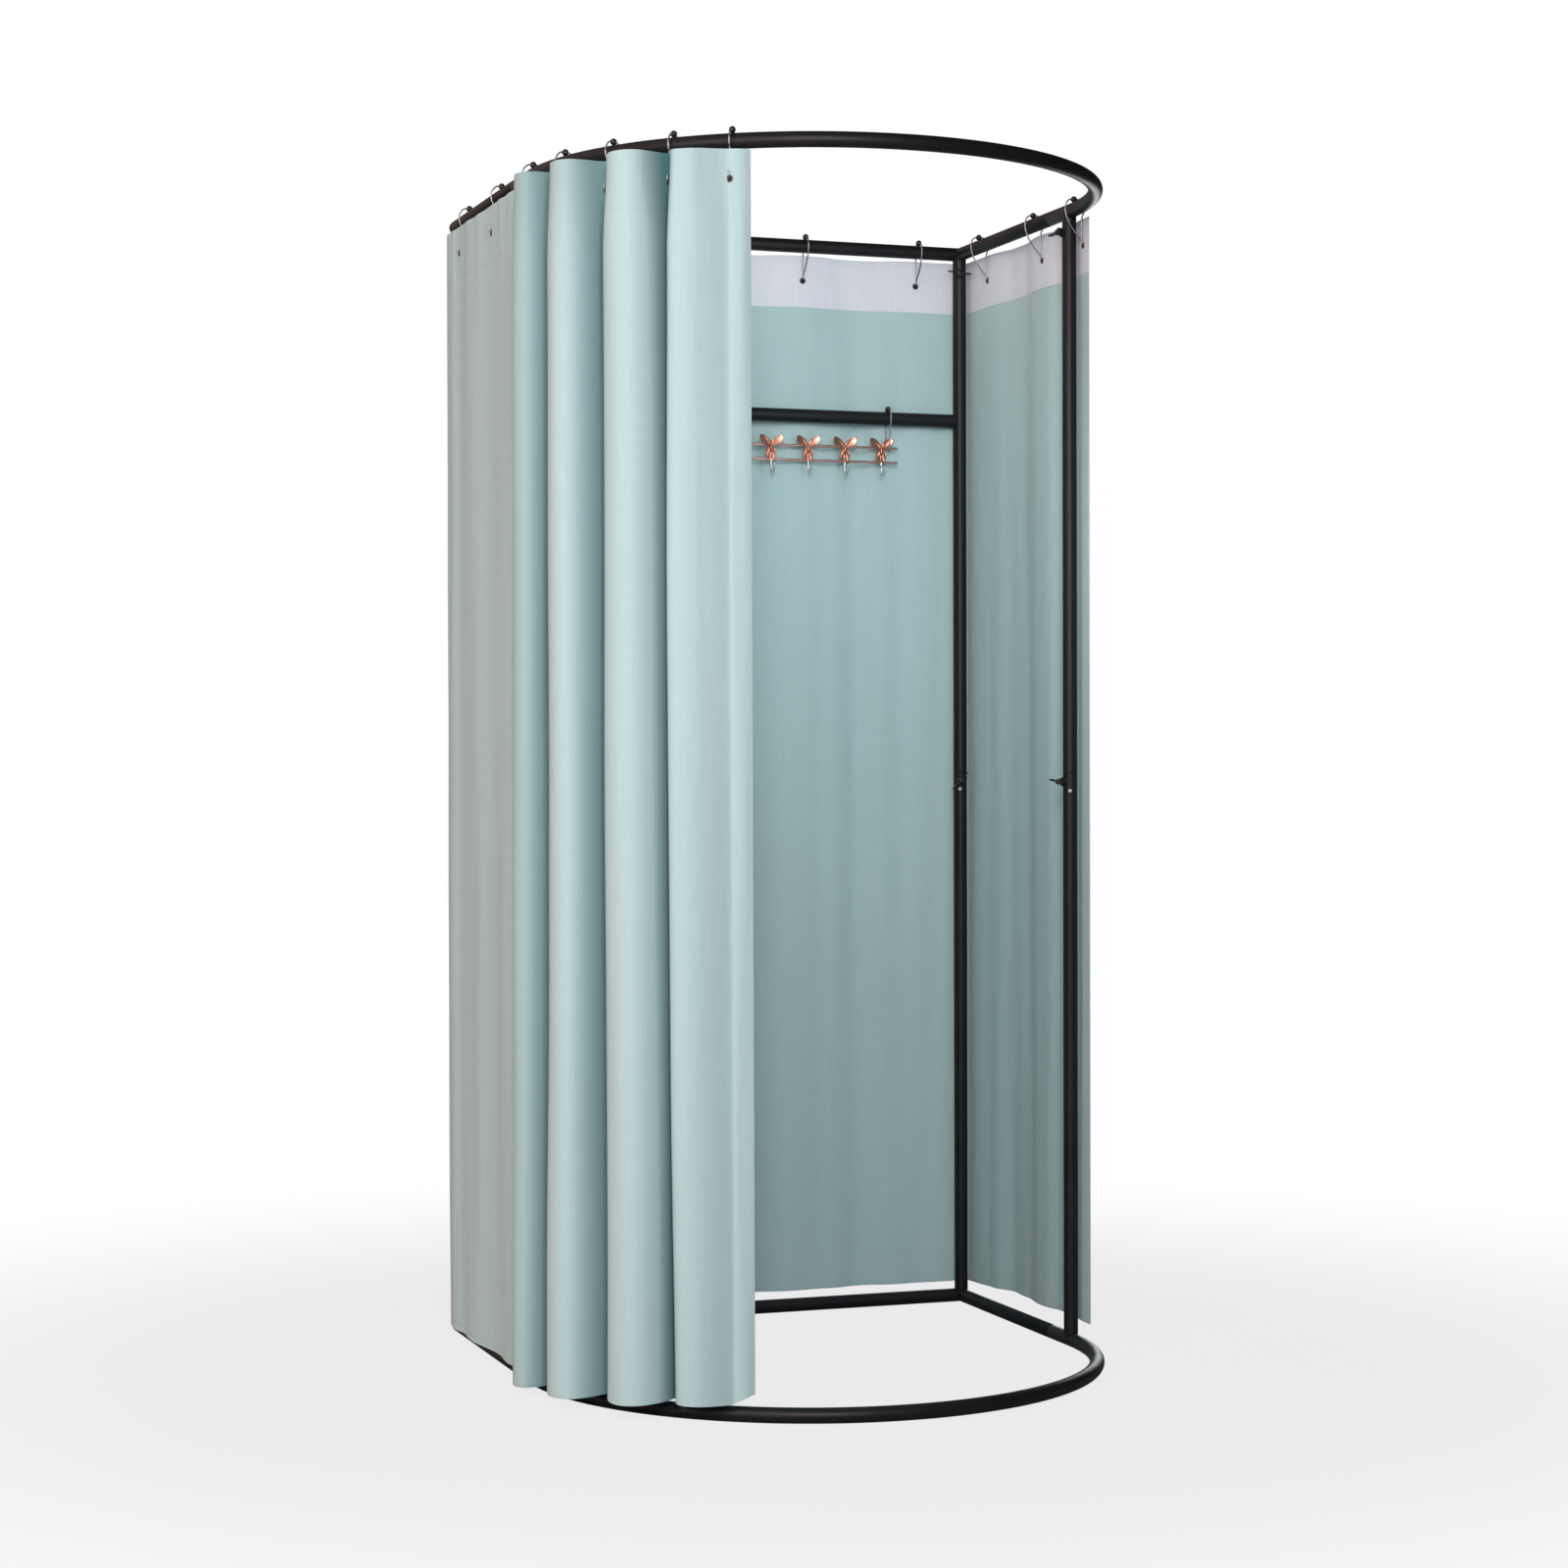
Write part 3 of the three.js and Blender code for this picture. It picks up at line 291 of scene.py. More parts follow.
def linen_finish(name, light, shade, painted_shade_color, stitched=True):
    """Plain-woven linen. Slubs are noise drawn out along the warp and the weft, the weave is
    two crossed sines, and stitches are short dashes along the header and the hem. The valleys
    between folds get painted shade: the lower in a valley, the more of the painted shade colour."""
    finish = Finish(name, roughness=0.92, Sheen_Weight=0.25, Sheen_Roughness=0.6, Specular_IOR_Level=0.25)
    cloth = finish.cloth_place()
    u, v, _ = finish.parts(cloth)
    warp = finish.noise(finish.stretched(cloth, 520.0, 14.0), 1.0, 3.0)
    weft = finish.noise(finish.stretched(cloth, 16.0, 560.0), 1.0, 3.0)
    cloudy = finish.noise(finish.stretched(cloth, 5.0, 2.2), 1.0, 2.0)
    fleck = finish.noise(finish.stretched(cloth, 900.0, 900.0), 1.0, 1.0)
    tone = warp * 0.48 + weft * 0.32 + cloudy * 0.12 + fleck * 0.08
    weave = (u * 5200).math("SINE") * 0.25 + (v * 5200).math("SINE") * 0.25
    height = warp * 0.5 + weft * 0.5 + weave
    color = finish.mix(tone.between(0.3, 0.7), shade, light)
    # Painted shade: towards the bottom of each valley between folds the colour turns to the dark painted
    # shade colour.
    painted_shade_share = finish.node("ShaderNodeAttribute", {"attribute_name": "painted_shade_share"}, {}, "Fac")
    color = finish.mix(painted_shade_share * 0.97, color, painted_shade_color)
    if stitched:
        dash = (u * 1050).math("SINE").between(-0.35, 0.1)
        rows = stitch_row(v, HEM, 0.0011) * dash
        rows = rows + stitch_row(v, CLOTH_TOP - BAND, 0.0011) * dash
        rows = rows.math("MINIMUM", 1.0)
        color = finish.mix(rows * 0.35, color, shade)
        dent = stitch_row(v, HEM, 0.0035) + stitch_row(v, CLOTH_TOP - BAND, 0.0035)
        height = height - dent * 2.2
    finish.set("Base Color", color)
    finish.bump(height, 0.00035, 0.7)
    return finish.material


def stitch_row(v, line, half):
    """1 on a line of constant height, falling to 0 at half its width."""
    return 1 - (v - line).math("ABSOLUTE").between(0.0, half)


def coated_steel_finish():
    """Satin black powder coat: a fine orange-peel relief and a roughness that drifts."""
    finish = Finish("black_coat", color=from_screen(22, 23, 26), Specular_IOR_Level=0.28)
    place = finish.place()
    peel = finish.noise(place, 900.0, 2.0)
    drift = finish.noise(place, 9.0, 3.0)
    finish.set("Roughness", drift * 0.14 + 0.4)
    finish.set("Base Color", finish.mix(drift, from_screen(14, 15, 18), from_screen(25, 27, 31)))
    finish.bump(peel, 0.00006, 0.6)
    return finish.material


def bolt_finish():
    """Black coated casting, rubbed brighter on its high edges by a coarse noise."""
    finish = Finish("bolt_coat", color=from_screen(26, 26, 28), metallic=0.1)
    place = finish.place()
    worn = finish.noise(place, 260.0, 4.0).between(0.56, 0.72)
    finish.set("Base Color", finish.mix(worn, from_screen(24, 24, 26), from_screen(66, 66, 70)))
    finish.set("Roughness", 0.42 - worn * 0.12)
    finish.bump(finish.noise(place, 1400.0, 2.0), 0.00008, 0.5)
    return finish.material


def plated_wire_finish(name, low, high):
    finish = Finish(name, metallic=1.0, color=low)
    smear = finish.noise(finish.place(), 320.0, 3.0)
    finish.set("Roughness", smear * 0.2 + 0.26)
    finish.set("Base Color", finish.mix(smear, low, high))
    return finish.material


def rose_plated_finish(name, low, high):
    finish = Finish(name, metallic=0.9, color=low)
    place = finish.place()
    cloud = finish.noise(place, 45.0, 3.0)
    grain = finish.noise(place, 900.0, 2.0)
    finish.set("Base Color", finish.mix(cloud, low, high))
    finish.set("Roughness", grain * 0.16 + 0.24)
    finish.bump(grain, 0.00005, 0.4)
    return finish.material


def eyelet_finish():
    finish = Finish("eyelet_metal", metallic=0.9, color=from_screen(120, 110, 104))
    rub = finish.noise(finish.place(), 600.0, 3.0)
    finish.set("Base Color", finish.mix(rub, from_screen(84, 76, 72), from_screen(150, 142, 136)))
    finish.set("Roughness", rub * 0.2 + 0.3)
    return finish.material


def plain_finish(name, color, roughness):
    finish = Finish(name, color=color)
    blur = finish.noise(finish.place(), 700.0, 2.0)
    finish.set("Roughness", blur * 0.1 + roughness)
    return finish.material


# The third colour of each cloth finish is painted shade, given to the valleys between the door's folds.
LINEN = linen_finish(
    "linen", light=from_screen(180, 211, 213), shade=from_screen(170, 204, 207),
    painted_shade_color=from_screen(25, 99, 103),
)
TAPE = linen_finish(
    "header_tape", light=from_screen(226, 235, 245), shade=from_screen(214, 224, 235),
    painted_shade_color=from_screen(190, 202, 214), stitched=False,
)
BLACK_COAT = coated_steel_finish()
BOLT_COAT = bolt_finish()
PLATED_WIRE = plated_wire_finish("plated_wire", from_screen(128, 128, 134), from_screen(184, 184, 190))
BRIGHT_WIRE = plated_wire_finish("bright_wire", from_screen(205, 205, 210), from_screen(238, 238, 242))
ROSE_PLATE = rose_plated_finish("rose_plate", from_screen(146, 92, 75), from_screen(204, 146, 126))
ROSE_BAR = rose_plated_finish("rose_bar", from_screen(188, 140, 128), from_screen(228, 190, 180))
EYELET_METAL = eyelet_finish()
# Painted shade: a dark disc stands for the shade seen in an eyelet's hole.
EYELET_HOLE_SHADE = plain_finish("eyelet_hole_painted_shade", from_screen(30, 28, 27), 0.85)
BEAD_BLACK = plain_finish("bead_black", from_screen(22, 22, 25), 0.25)
# Pale grey of the snap pins: partly the pins' own colour, partly a painted glint.
PIN_PAINTED_GLINT = plain_finish("pin_painted_glint", from_screen(188, 190, 192), 0.25)

# -------- surfaces


def grid_quads(rows, columns, wrap_columns=False):
    """Corner numbers of the squares of a grid of points that is stored row by row."""
    last = columns if wrap_columns else columns - 1
    row, column = np.meshgrid(np.arange(rows - 1), np.arange(last), indexing="ij")
    beside = (column + 1) % columns
    here = row * columns
    below = here + columns
    return np.stack([here + column, here + beside, below + beside, below + column], -1).reshape(-1, 4)


def mesh_of(name, points, faces, uv=None):
    mesh = bpy.data.meshes.new(name)
    mesh.from_pydata(np.asarray(points).reshape(-1, 3).tolist(), [], np.asarray(faces).tolist())
    if uv is not None:
        layer = mesh.uv_layers.new(name="cloth")
        corner = np.empty(len(mesh.loops), np.int32)
        mesh.loops.foreach_get("vertex_index", corner)
        layer.data.foreach_set("uv", uv[corner].astype(np.float32).ravel())
    return mesh


def closed_shell(grids, crease=40):
    """One mesh from several wrapped grids, with their poles joined and their faces outward."""
    shell = bmesh.new()
    for grid in grids:
        mesh = mesh_of("part", grid, grid_quads(grid.shape[0], grid.shape[1], wrap_columns=True))
        shell.from_mesh(mesh)
        bpy.data.meshes.remove(mesh)
    bmesh.ops.remove_doubles(shell, verts=shell.verts, dist=1e-7)
    bmesh.ops.recalc_face_normals(shell, faces=shell.faces)
    mesh = bpy.data.meshes.new("shell")
    shell.to_mesh(mesh)
    shell.free()
    mesh.shade_smooth()
    mesh.set_sharp_from_angle(angle=math.radians(crease))
    return mesh


def add_piece(name, mesh, finish, body, nodes=()):
    mesh.name = name
    piece = bpy.data.objects.new(name, mesh)
    bpy.context.scene.collection.objects.link(piece)
    mesh.materials.append(finish)
    if body:
        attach(piece, body)
    if nodes:
        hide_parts(*nodes)
    return piece


def tube(path, flat, radius, sides=24):
    """Rings of points round a flat path. At each point a ring lies in the plane that halves the
    bend, widened there so that the tube keeps its width. flat is the normal of the path's plane.
    Rings of no size close both ends."""
    path = np.asarray(path, float)
    steps = np.diff(path, axis=0)
    steps /= np.linalg.norm(steps, axis=1)[:, None]
    before = np.vstack([steps[:1], steps])
    after = np.vstack([steps, steps[-1:]])
    along = before + after
    along /= np.linalg.norm(along, axis=1)[:, None]
    widen = 1 / np.maximum((along * after).sum(1), 0.3)
    side = np.cross(along, flat)
    turn = np.linspace(0, 2 * math.pi, sides, endpoint=False)
    radius = np.broadcast_to(radius, len(path))
    across = side[:, None] * (np.cos(turn)[None, :, None] * widen[:, None, None])
    rise = np.asarray(flat, float) * np.sin(turn)[None, :, None]
    rings = path[:, None] + radius[:, None, None] * (across + rise)
    first = np.broadcast_to(path[0], (1, sides, 3))
    last = np.broadcast_to(path[-1], (1, sides, 3))
    return np.concatenate([first, rings, last])


def soft_ended(path, radius, edge=TUBE_EDGE):
    """The path with a short step before each end, and the radii that round those ends."""
    path = np.asarray(path, float)
    begin = path[1] - path[0]
    end = path[-2] - path[-1]
    begin = path[0] + begin / np.linalg.norm(begin) * edge
    end = path[-1] + end / np.linalg.norm(end) * edge
    radii = np.full(len(path) + 2, float(radius))
    radii[[0, -1]] -= edge
    return np.vstack([path[:1], begin, path[1:-1], end, path[-1:]]), radii


def turned(profile, sides=32):
    """A profile of radius and height turned round the Z axis, radius 0 at both its ends."""
    profile = np.asarray(profile, float)
    turn = np.linspace(0, 2 * math.pi, sides, endpoint=False)
    x = profile[:, :1] * np.cos(turn)
    y = profile[:, :1] * np.sin(turn)
    z = np.broadcast_to(profile[:, 1:], x.shape)
    return np.stack([x, y, z], -1)


def ball(center, radius, rings=12, sides=20, flat=(1, 1, 1)):
    """A sphere as a half circle turned round Z, scaled by flat."""
    angle = np.linspace(0, math.pi, rings)
    profile = np.stack([radius * np.sin(angle), -radius * np.cos(angle)], -1)
    return turned(profile, sides) * np.asarray(flat) + np.asarray(center)


def moved(points, matrix):
    """Points carried by a 4 by 4 matrix."""
    table = np.array(matrix)
    return points @ table[:3, :3].T + table[:3, 3]


def smooth_path(points, steps):
    """A curve through the points: each stretch is a cubic whose end slopes are half the
    distance between the neighbours of its ends."""
    points = np.asarray(points, float)
    ends = np.vstack([2 * points[0] - points[1], points, 2 * points[-1] - points[-2]])
    t = np.linspace(0, 1, steps, endpoint=False)[None, :, None]
    p0, p1, p2, p3 = (ends[i:len(ends) - 3 + i][:, None] for i in range(4))
    slope1 = (p2 - p0) / 2
    slope2 = (p3 - p1) / 2
    curve = (
        (2 * t**3 - 3 * t**2 + 1) * p1 + (t**3 - 2 * t**2 + t) * slope1
        + (3 * t**2 - 2 * t**3) * p2 + (t**3 - t**2) * slope2
    )
    return np.vstack([curve.reshape(-1, points.shape[1]), points[-1:]])


# -------- frame

UP = np.array([0.0, 0.0, 1.0])


def front_arc_path(height):
    """Half circle round the front from right to left, with a straight tail at each end."""
    angle = np.linspace(0, math.pi, 97)
    arc = np.stack([np.cos(angle), -np.sin(angle), 0 * angle], -1) * RING_RADIUS
    right, left = [[RING_RADIUS, TAIL, 0]], [[-RING_RADIUS, TAIL, 0]]
    return np.vstack([right, arc, left]) + UP * height + MIDDLE


def rear_path(height):
    """Right side, back and left side, with each corner held tight by a point on both sides."""
    right = np.array([
        [RING_RADIUS, TAIL + SEAM_GAP, 0],
        [RING_RADIUS, SIDE - MITRE, 0],
        [RING_RADIUS, SIDE, 0],
        [RING_RADIUS - MITRE, SIDE, 0],
    ])
    return np.vstack([right, right[::-1] * np.array([-1, 1, 1])]) + UP * height + MIDDLE


def add_rings():
    for label, height in (("top", HIGH_RING), ("bottom", LOW_RING)):
        for part, path in (("front_arc", front_arc_path(height)), ("rear_frame", rear_path(height))):
            path, radii = soft_ended(path, TUBE)
            mesh = closed_shell([tube(path, UP, radii, TUBE_SIDES)], 60)
            add_piece(f"{label}_{part}_tube", mesh, BLACK_COAT, "stand", [f"{label}_{part}"])


POSTS = {
    "front_left": (-1, 0.0), "front_right": (1, 0.0),
    "back_left": (-1, SIDE), "back_right": (1, SIDE),
}


def post_place(name):
    side, y = POSTS[name]
    return MIDDLE + np.array([side * RING_RADIUS, y, 0])


def bolt_aim(name):
    """Way that a post's wing bolts point: across the doorway in front, forwards at the back."""
    side, y = POSTS[name]
    if y == 0:
        return Vector((-side, 0, 0))
    return Vector((-side * math.sin(BACK_BOLT_TURN), -math.cos(BACK_BOLT_TURN), 0))


def aimed_at(place, height, aim, turn=0.0):
    """Matrix that takes +Z to the aim at a height of a post, after a turn about +Z."""
    lean = Vector((0, 0, 1)).rotation_difference(aim).to_matrix().to_4x4()
    spot = Vector((place[0], place[1], height))
    return Matrix.Translation(spot) @ lean @ Matrix.Rotation(turn, 4, "Z")


def welded_nut(matrix):
    """Hexagonal nut with chamfered corners: a six-sided profile turned round its axis."""
    profile = [
        (0, NUT_BASE), (NUT_RADIUS, NUT_BASE), (NUT_RADIUS, NUT_TOP - NUT_CHAMFER),
        (NUT_RADIUS - NUT_CHAMFER, NUT_TOP), (0, NUT_TOP),
    ]
    return moved(turned(profile, 6), matrix)


def weld_bead(matrix):
    """Ring of weld round a nut: a small round section turned about the nut's axis, rippled."""
    turn = np.linspace(0, 2 * math.pi, 57)[:, None]
    section = np.linspace(0, 2 * math.pi, 8, endpoint=False)
    up = matrix.to_3x3().inverted() @ Vector((0, 0, 1))
    beside = WELD_RADIUS * np.sin(turn - math.atan2(up.y, up.x))
    swell = WELD + WELD_RIPPLE * np.sin(turn * 14)
    radius = WELD_RADIUS + swell * np.cos(section)
    height = np.sqrt(TUBE**2 - beside**2) + swell * np.sin(section)
    ring = np.stack([radius * np.cos(turn), radius * np.sin(turn), height], -1)
    return moved(ring, matrix)


def post_pieces(name):
    """Lower and upper tube of one post, each with the nut and weld of its wing bolt. The upper
    one also has its reduced end, seen in the seam."""
    foot = post_place(name)
    across = np.array([1.0, 0.0, 0.0])
    spans = {
        "lower": (LOW_RING, SEAM, MID_BOLT),
        "upper": (SEAM + SEAM_GAP, HIGH_RING, TOP_BOLT),
    }
    for part, (low, high, bolt) in spans.items():
        matrix = aimed_at(foot, bolt, bolt_aim(name))
        path, radii = soft_ended([foot + UP * low, foot + UP * high], TUBE)
        shapes = [tube(path, across, radii, TUBE_SIDES), welded_nut(matrix), weld_bead(matrix)]
        if part == "upper":
            neck = np.array([foot + UP * (SEAM - NECK_LOW), foot + UP * (SEAM + NECK_HIGH)])
            shapes.append(tube(neck, across, TUBE - NECK_STEP, TUBE_SIDES))
        mesh = closed_shell(shapes, 35)
        add_piece(f"{name}_{part}_tube", mesh, BLACK_COAT, "stand", [f"{name}_{part}_post"])


def add_posts():
    pins = []
    for name in POSTS:
        post_pieces(name)
        # A snap pin on each post, turned towards the camera's side; its pale grey is partly a painted
        # glint.
        matrix = aimed_at(post_place(name), PIN_HEIGHT, PIN_AIM)
        pins.append(moved(ball((0, 0, TUBE - PIN_SINK), PIN_RADIUS, flat=(1, 1, 0.62)), matrix))
    add_piece("post_snap_pins", closed_shell(pins), PIN_PAINTED_GLINT, "stand")
    reach = RING_RADIUS - CROSSBAR_INSET
    bar = np.array([[-reach, SIDE, CROSSBAR], [reach, SIDE, CROSSBAR]]) + MIDDLE
    mesh = closed_shell([tube(bar, UP, TUBE, TUBE_SIDES)])
    add_piece("crossbar_tube", mesh, BLACK_COAT, "stand", ["crossbar"])


WING_TURNS = {
    "front_left": (20, 60), "front_right": (80, 100),
    "back_left": (75, 130), "back_right": (25, 150),
}


def wing_shape():
    """One wing: an ellipse with flattened sides carried outwards from the hub. Its height swells
    towards the tip, and its tip closes in a half circle."""
    x = WING_START + WING_SPAN * np.sin(np.linspace(0, math.pi / 2, WING_POINTS[0]))
    share = x / (WING_START + WING_SPAN)
    middle = BOLT_SEAT + 0.0045 + 0.006 * share**1.4
    tip = (x - WING_START - WING_SPAN + WING_ROUND) / WING_ROUND
    tip = np.sqrt(np.clip(1 - np.clip(tip, 0, 1) ** 2, 0, 1))
    tall = (0.0028 + 0.0024 * (x / 0.0175) ** 2).clip(0, 0.0052) * tip
    thick = (0.0019 - 0.0004 * share) * tip**0.5
    turn = np.linspace(0, 2 * math.pi, WING_POINTS[1], endpoint=False)
    rise = np.sign(np.sin(turn)) * np.abs(np.sin(turn)) ** 0.8
    wide = np.sign(np.cos(turn)) * np.abs(np.cos(turn)) ** 0.6
    wing = np.stack([
        np.broadcast_to(x[:, None], WING_POINTS),
        thick[:, None] * wide,
        middle[:, None] + tall[:, None] * rise,
    ], -1)
    first = np.broadcast_to(wing[:1].mean(1, keepdims=True), (1, WING_POINTS[1], 3))
    return np.concatenate([first, wing])


def wing_bolt_shape():
    """Shank and domed hub turned round Z, and two wings."""
    hub = turned([
        (0, BOLT_TIP), (SHANK - 0.0004, BOLT_TIP), (SHANK, BOLT_TIP + 0.0006), (SHANK, BOLT_SEAT),
        (HUB - 0.0003, BOLT_SEAT), (HUB, BOLT_SEAT + 0.0006),
        (0.0047, BOLT_CROWN - 0.0012), (0.0036, BOLT_CROWN - 0.0002), (0, BOLT_CROWN),
    ], 28)
    wing = wing_shape()
    return [hub, wing, wing * np.array([-1, -1, 1])]


def add_wing_bolts():
    shapes = wing_bolt_shape()
    for name, turns in WING_TURNS.items():
        for part, height, turn in (("mid", MID_BOLT, turns[0]), ("top", TOP_BOLT, turns[1])):
            matrix = aimed_at(post_place(name), height, bolt_aim(name), math.radians(turn))
            mesh = closed_shell([moved(shape, matrix) for shape in shapes], 45)
            node = f"{name}_{part}_wing_bolt"
            add_piece(f"{name}_{part}_bolt", mesh, BOLT_COAT, f"{node}_body", [node])


# -------- ring hooks

# Lines of a cloth hook's two wires in its own plane, in millimetres: outwards, and from the rail
CLOTH_HOOK_OUTER = np.array([
    [1.5, 17.9], [9.0, 17.5], [15.5, 12.0], [18.9, 4.0], [18.0, -6.0], [15.2, -13.5], [14.7, -30.0],
    [14.7, -48.0], [15.3, -56.0], [17.8, -59.5], [21.3, -58.2], [22.6, -54.0], [22.3, -49.5],
]) * 0.001
CLOTH_HOOK_INNER = np.array([
    [-1.5, 17.9], [-9.0, 16.9], [-14.4, 10.5], [-15.9, 2.0], [-14.6, -8.0], [-9.5, -22.0], [0.5, -37.0],
    [10.5, -48.5], [14.4, -53.0],
]) * 0.001


def rack_wire():
    """Line of a rack hanger's wire in its own plane, the crossbar at the origin: from the ball,
    round the wide loop, round the narrow eye and back to the ball."""
    wide = np.radians([30, 50, 70, 95])
    narrow = np.radians([90, 112, 135, 158, 180, 202, 225, 248, 270])
    loop = BEAD_HEIGHT - RACK_LOOP_RADIUS
    eye = RACK_EYE_RADIUS - HOOK_DROP
    right = np.stack([RACK_LOOP_RADIUS * np.sin(wide), loop + RACK_LOOP_RADIUS * np.cos(wide)], -1)
    bottom = np.stack([RACK_EYE_RADIUS * np.sin(narrow), eye + RACK_EYE_RADIUS * np.cos(narrow)], -1)
    left = right[::-1] * np.array([-1, 1])
    return np.vstack([[[0.0015, BEAD_HEIGHT]], right, bottom, left, [[-0.0015, BEAD_HEIGHT]]])


def ring_hook(name, rail, out, height, body, lines):
    """Wires and ball of one ring hook, turned so that its plane holds the outward direction."""
    turn = Matrix.Rotation(math.atan2(out[1], out[0]), 4, "Z")
    matrix = Matrix.Translation(Vector((rail[0], rail[1], height))) @ turn
    shapes = []
    for line in lines:
        line = smooth_path(line, 6)
        path = np.stack([line[:, 0], 0 * line[:, 0], line[:, 1]], -1)
        shapes.append(moved(tube(path, (0, 1, 0), WIRE, 10), matrix))
    add_piece(f"{name}_wire", closed_shell(shapes, 60), PLATED_WIRE, body, [name])
    cap = closed_shell([moved(ball((0, 0, BEAD_HEIGHT), BEAD), matrix)])
    add_piece(f"{name}_ball", cap, BEAD_BLACK, body)


def side_place(distance, side):
    """Rail point and outward direction at a distance forward from the back post along a side,
    then round the front."""
    distance = np.asarray(distance, float)
    angle = np.clip(distance - SIDE, 0, None) / CLOTH_RADIUS
    out = np.stack([side * np.cos(angle), -np.sin(angle)], -1)
    back = np.clip(SIDE - distance, 0, None)
    rail = out * RING_RADIUS + np.stack([0 * back, back], -1)
    return rail, out


def back_place(distance):
    """The same from the back left post along the back, round the right post and forward."""
    distance = np.asarray(distance, float)
    past = np.clip(distance - WIDTH, 0, CORNER)
    angle = math.pi / 2 - past / CLOTH_OFFSET
    out = np.stack([np.cos(angle), np.sin(angle)], -1)
    x = np.clip(distance, None, WIDTH) - RING_RADIUS
    rail = np.stack([x, SIDE + 0 * x], -1)
    rail_side, out_side = side_place(distance - WIDTH - CORNER, 1)
    on_side = (distance > WIDTH + CORNER)[..., None]
    return np.where(on_side, rail_side, rail), np.where(on_side, out_side, out)


DOOR_HOOKS = SIDE + np.radians(180 - np.array([177, 162.7, 148.7, 135.1, 123.6])) * CLOTH_RADIUS
LEFT_HOOKS = np.array([0.18, 0.64]) * SIDE
BACK_HOOKS = np.array([0.214, 0.448, 0.682, 0.915]) * WIDTH
RIGHT_HOOKS = WIDTH + CORNER + np.array([0.19 * SIDE, 0.69 * SIDE, SIDE + math.radians(2.4) * CLOTH_RADIUS])
LEADING_EDGE = DOOR_HOOKS[-1] + 0.031
LAP_EDGE = WIDTH + CORNER + SIDE + 0.046


def add_cloth_hooks():
    def hang(name, place, body):
        rail, out = place
        ring_hook(name, rail + MIDDLE[:2], out, HIGH_RING, body, [CLOTH_HOOK_OUTER, CLOTH_HOOK_INNER])

    for i, distance in enumerate([*LEFT_HOOKS, DOOR_HOOKS[0]]):
        hang(f"left_ring_hook_{i + 1}", side_place(distance, -1), "stand")
    for i, distance in enumerate(DOOR_HOOKS[1:]):
        hang(f"door_ring_hook_{i + 1}", side_place(distance, -1), f"door_length_{i + 1}")
    for i, distance in enumerate(BACK_HOOKS):
        hang(f"back_ring_hook_{i + 1}", back_place(distance), "stand")
    for i, distance in enumerate(RIGHT_HOOKS):
        hang(f"right_ring_hook_{i + 1}", back_place(distance), "stand")


# -------- cloth

# The door's folds, from the side to the leading edge
FOLD_DEPTHS = (0.059, 0.076, 0.079, 0.045)
FOLD_LEANS = (0.045, 0.030, 0.021, -0.019)
FOLD_PINCHES = (0.45, 0.62, 0.70, 0.50)
LEADING_CURL = 0.013
SIDE_DEPTH = 0.005           # of the slack between fixed hooks
BACK_DEPTH = 0.012

BAND_FADE = 0.16             # how far down the stiff header holds the folds
CREST_WANDER = 0.004
SOFT_WAVE = 0.0034
FINE_WAVE = 0.00045
HEM_WAVE = 0.0016
DOOR_WAVE = 0.0006           # long vertical waves of each cloth
BACK_WAVE = 0.0052
RIGHT_WAVE = 0.0020
FAN = 0.0014                 # small pleats just under the header's edge
FAN_LENGTH = 0.13
SCALLOP = 0.0012             # sag of the top edge between hooks


def ripple(a, b, seed, count=7, low=0.6, high=2.4):
    """Smooth irregular surface between about -1 and 1: a sum of sines of a and b whose
    directions, lengths and phases come from the seed."""
    draw = np.random.default_rng(seed)
    total = 0
    for _ in range(count):
        fa, fb = draw.uniform(low, high, 2) * draw.choice([-1, 1], 2)
        total = total + np.sin(fa * a + fb * b + draw.uniform(0, 2 * math.pi))
    return total / math.sqrt(count) / 1.4


def span_columns(start, end, steps, depth=0.0, lean=0.0, pinch=0.0, curl=0.0):
    """Numbers of one stretch of cloth between two hooks, one row per column of points: share of
    the stretch, its start and length, its crest depth, lean, pinch and curl."""
    share = np.linspace(0, 1, steps + 1)
    facts = [start, end - start, depth, lean, pinch, curl]
    return np.column_stack([share] + [np.full(steps + 1, fact) for fact in facts])


def fold_line(facts, drop, below_band, seed, drift_at):
    """Place of each point along the rail. A fold's sides draw together by its pinch and its crest
    leans. Lower down the folds drift and wander."""
    share, start, length, _, lean, pinch, _ = facts
    rise = np.sin(math.pi * share) ** 2
    held = pinch * (0.55 + 0.45 * below_band)
    along = start + length * (share - held * np.sin(2 * math.pi * share) / (2 * math.pi))
    along = along + lean * rise * (0.8 + 0.2 * below_band)
    along = along + drift_at(along) * drop**1.3
    return along + CREST_WANDER * rise * ripple(start * 9, drop * 6, seed + 4) * below_band


def fold_reach(facts, along, drop, below_band, seed, wave):
    """Distance of each point from the rail's axis. A fold rises as the square of a sine and opens
    a little downwards, and soft, fine and long vertical ripples are added."""
    share, _, _, depth, _, _, curl = facts
    rise = np.sin(math.pi * share) ** 2
    u = along * 9
    fan = np.exp(-((drop * CLOTH_TOP / FAN_LENGTH) ** 2))
    fan = fan * np.cos(share * 6 * math.pi) * (1 - np.abs(2 * share - 1))
    soft = ripple(u * 1.7, drop * 3.2, seed) * rise**0.5
    fine = ripple(u * 6.5, drop * 9, seed + 1, high=2.8)
    reach = CLOTH_OFFSET + depth * rise * (0.9 + 0.1 * below_band + 0.06 * drop) - curl * share**2
    reach = reach + (SOFT_WAVE * soft + FINE_WAVE * fine) * (0.35 + 0.65 * drop)
    reach = reach + HEM_WAVE * drop**6 * ripple(u * 3.1, drop * 2, seed + 2)
    reach = reach + wave * np.clip(drop * 5, 0, 1) * ripple(u * 4.2, drop * 1.1, seed + 3)
    return reach + FAN * fan * (depth > 0)


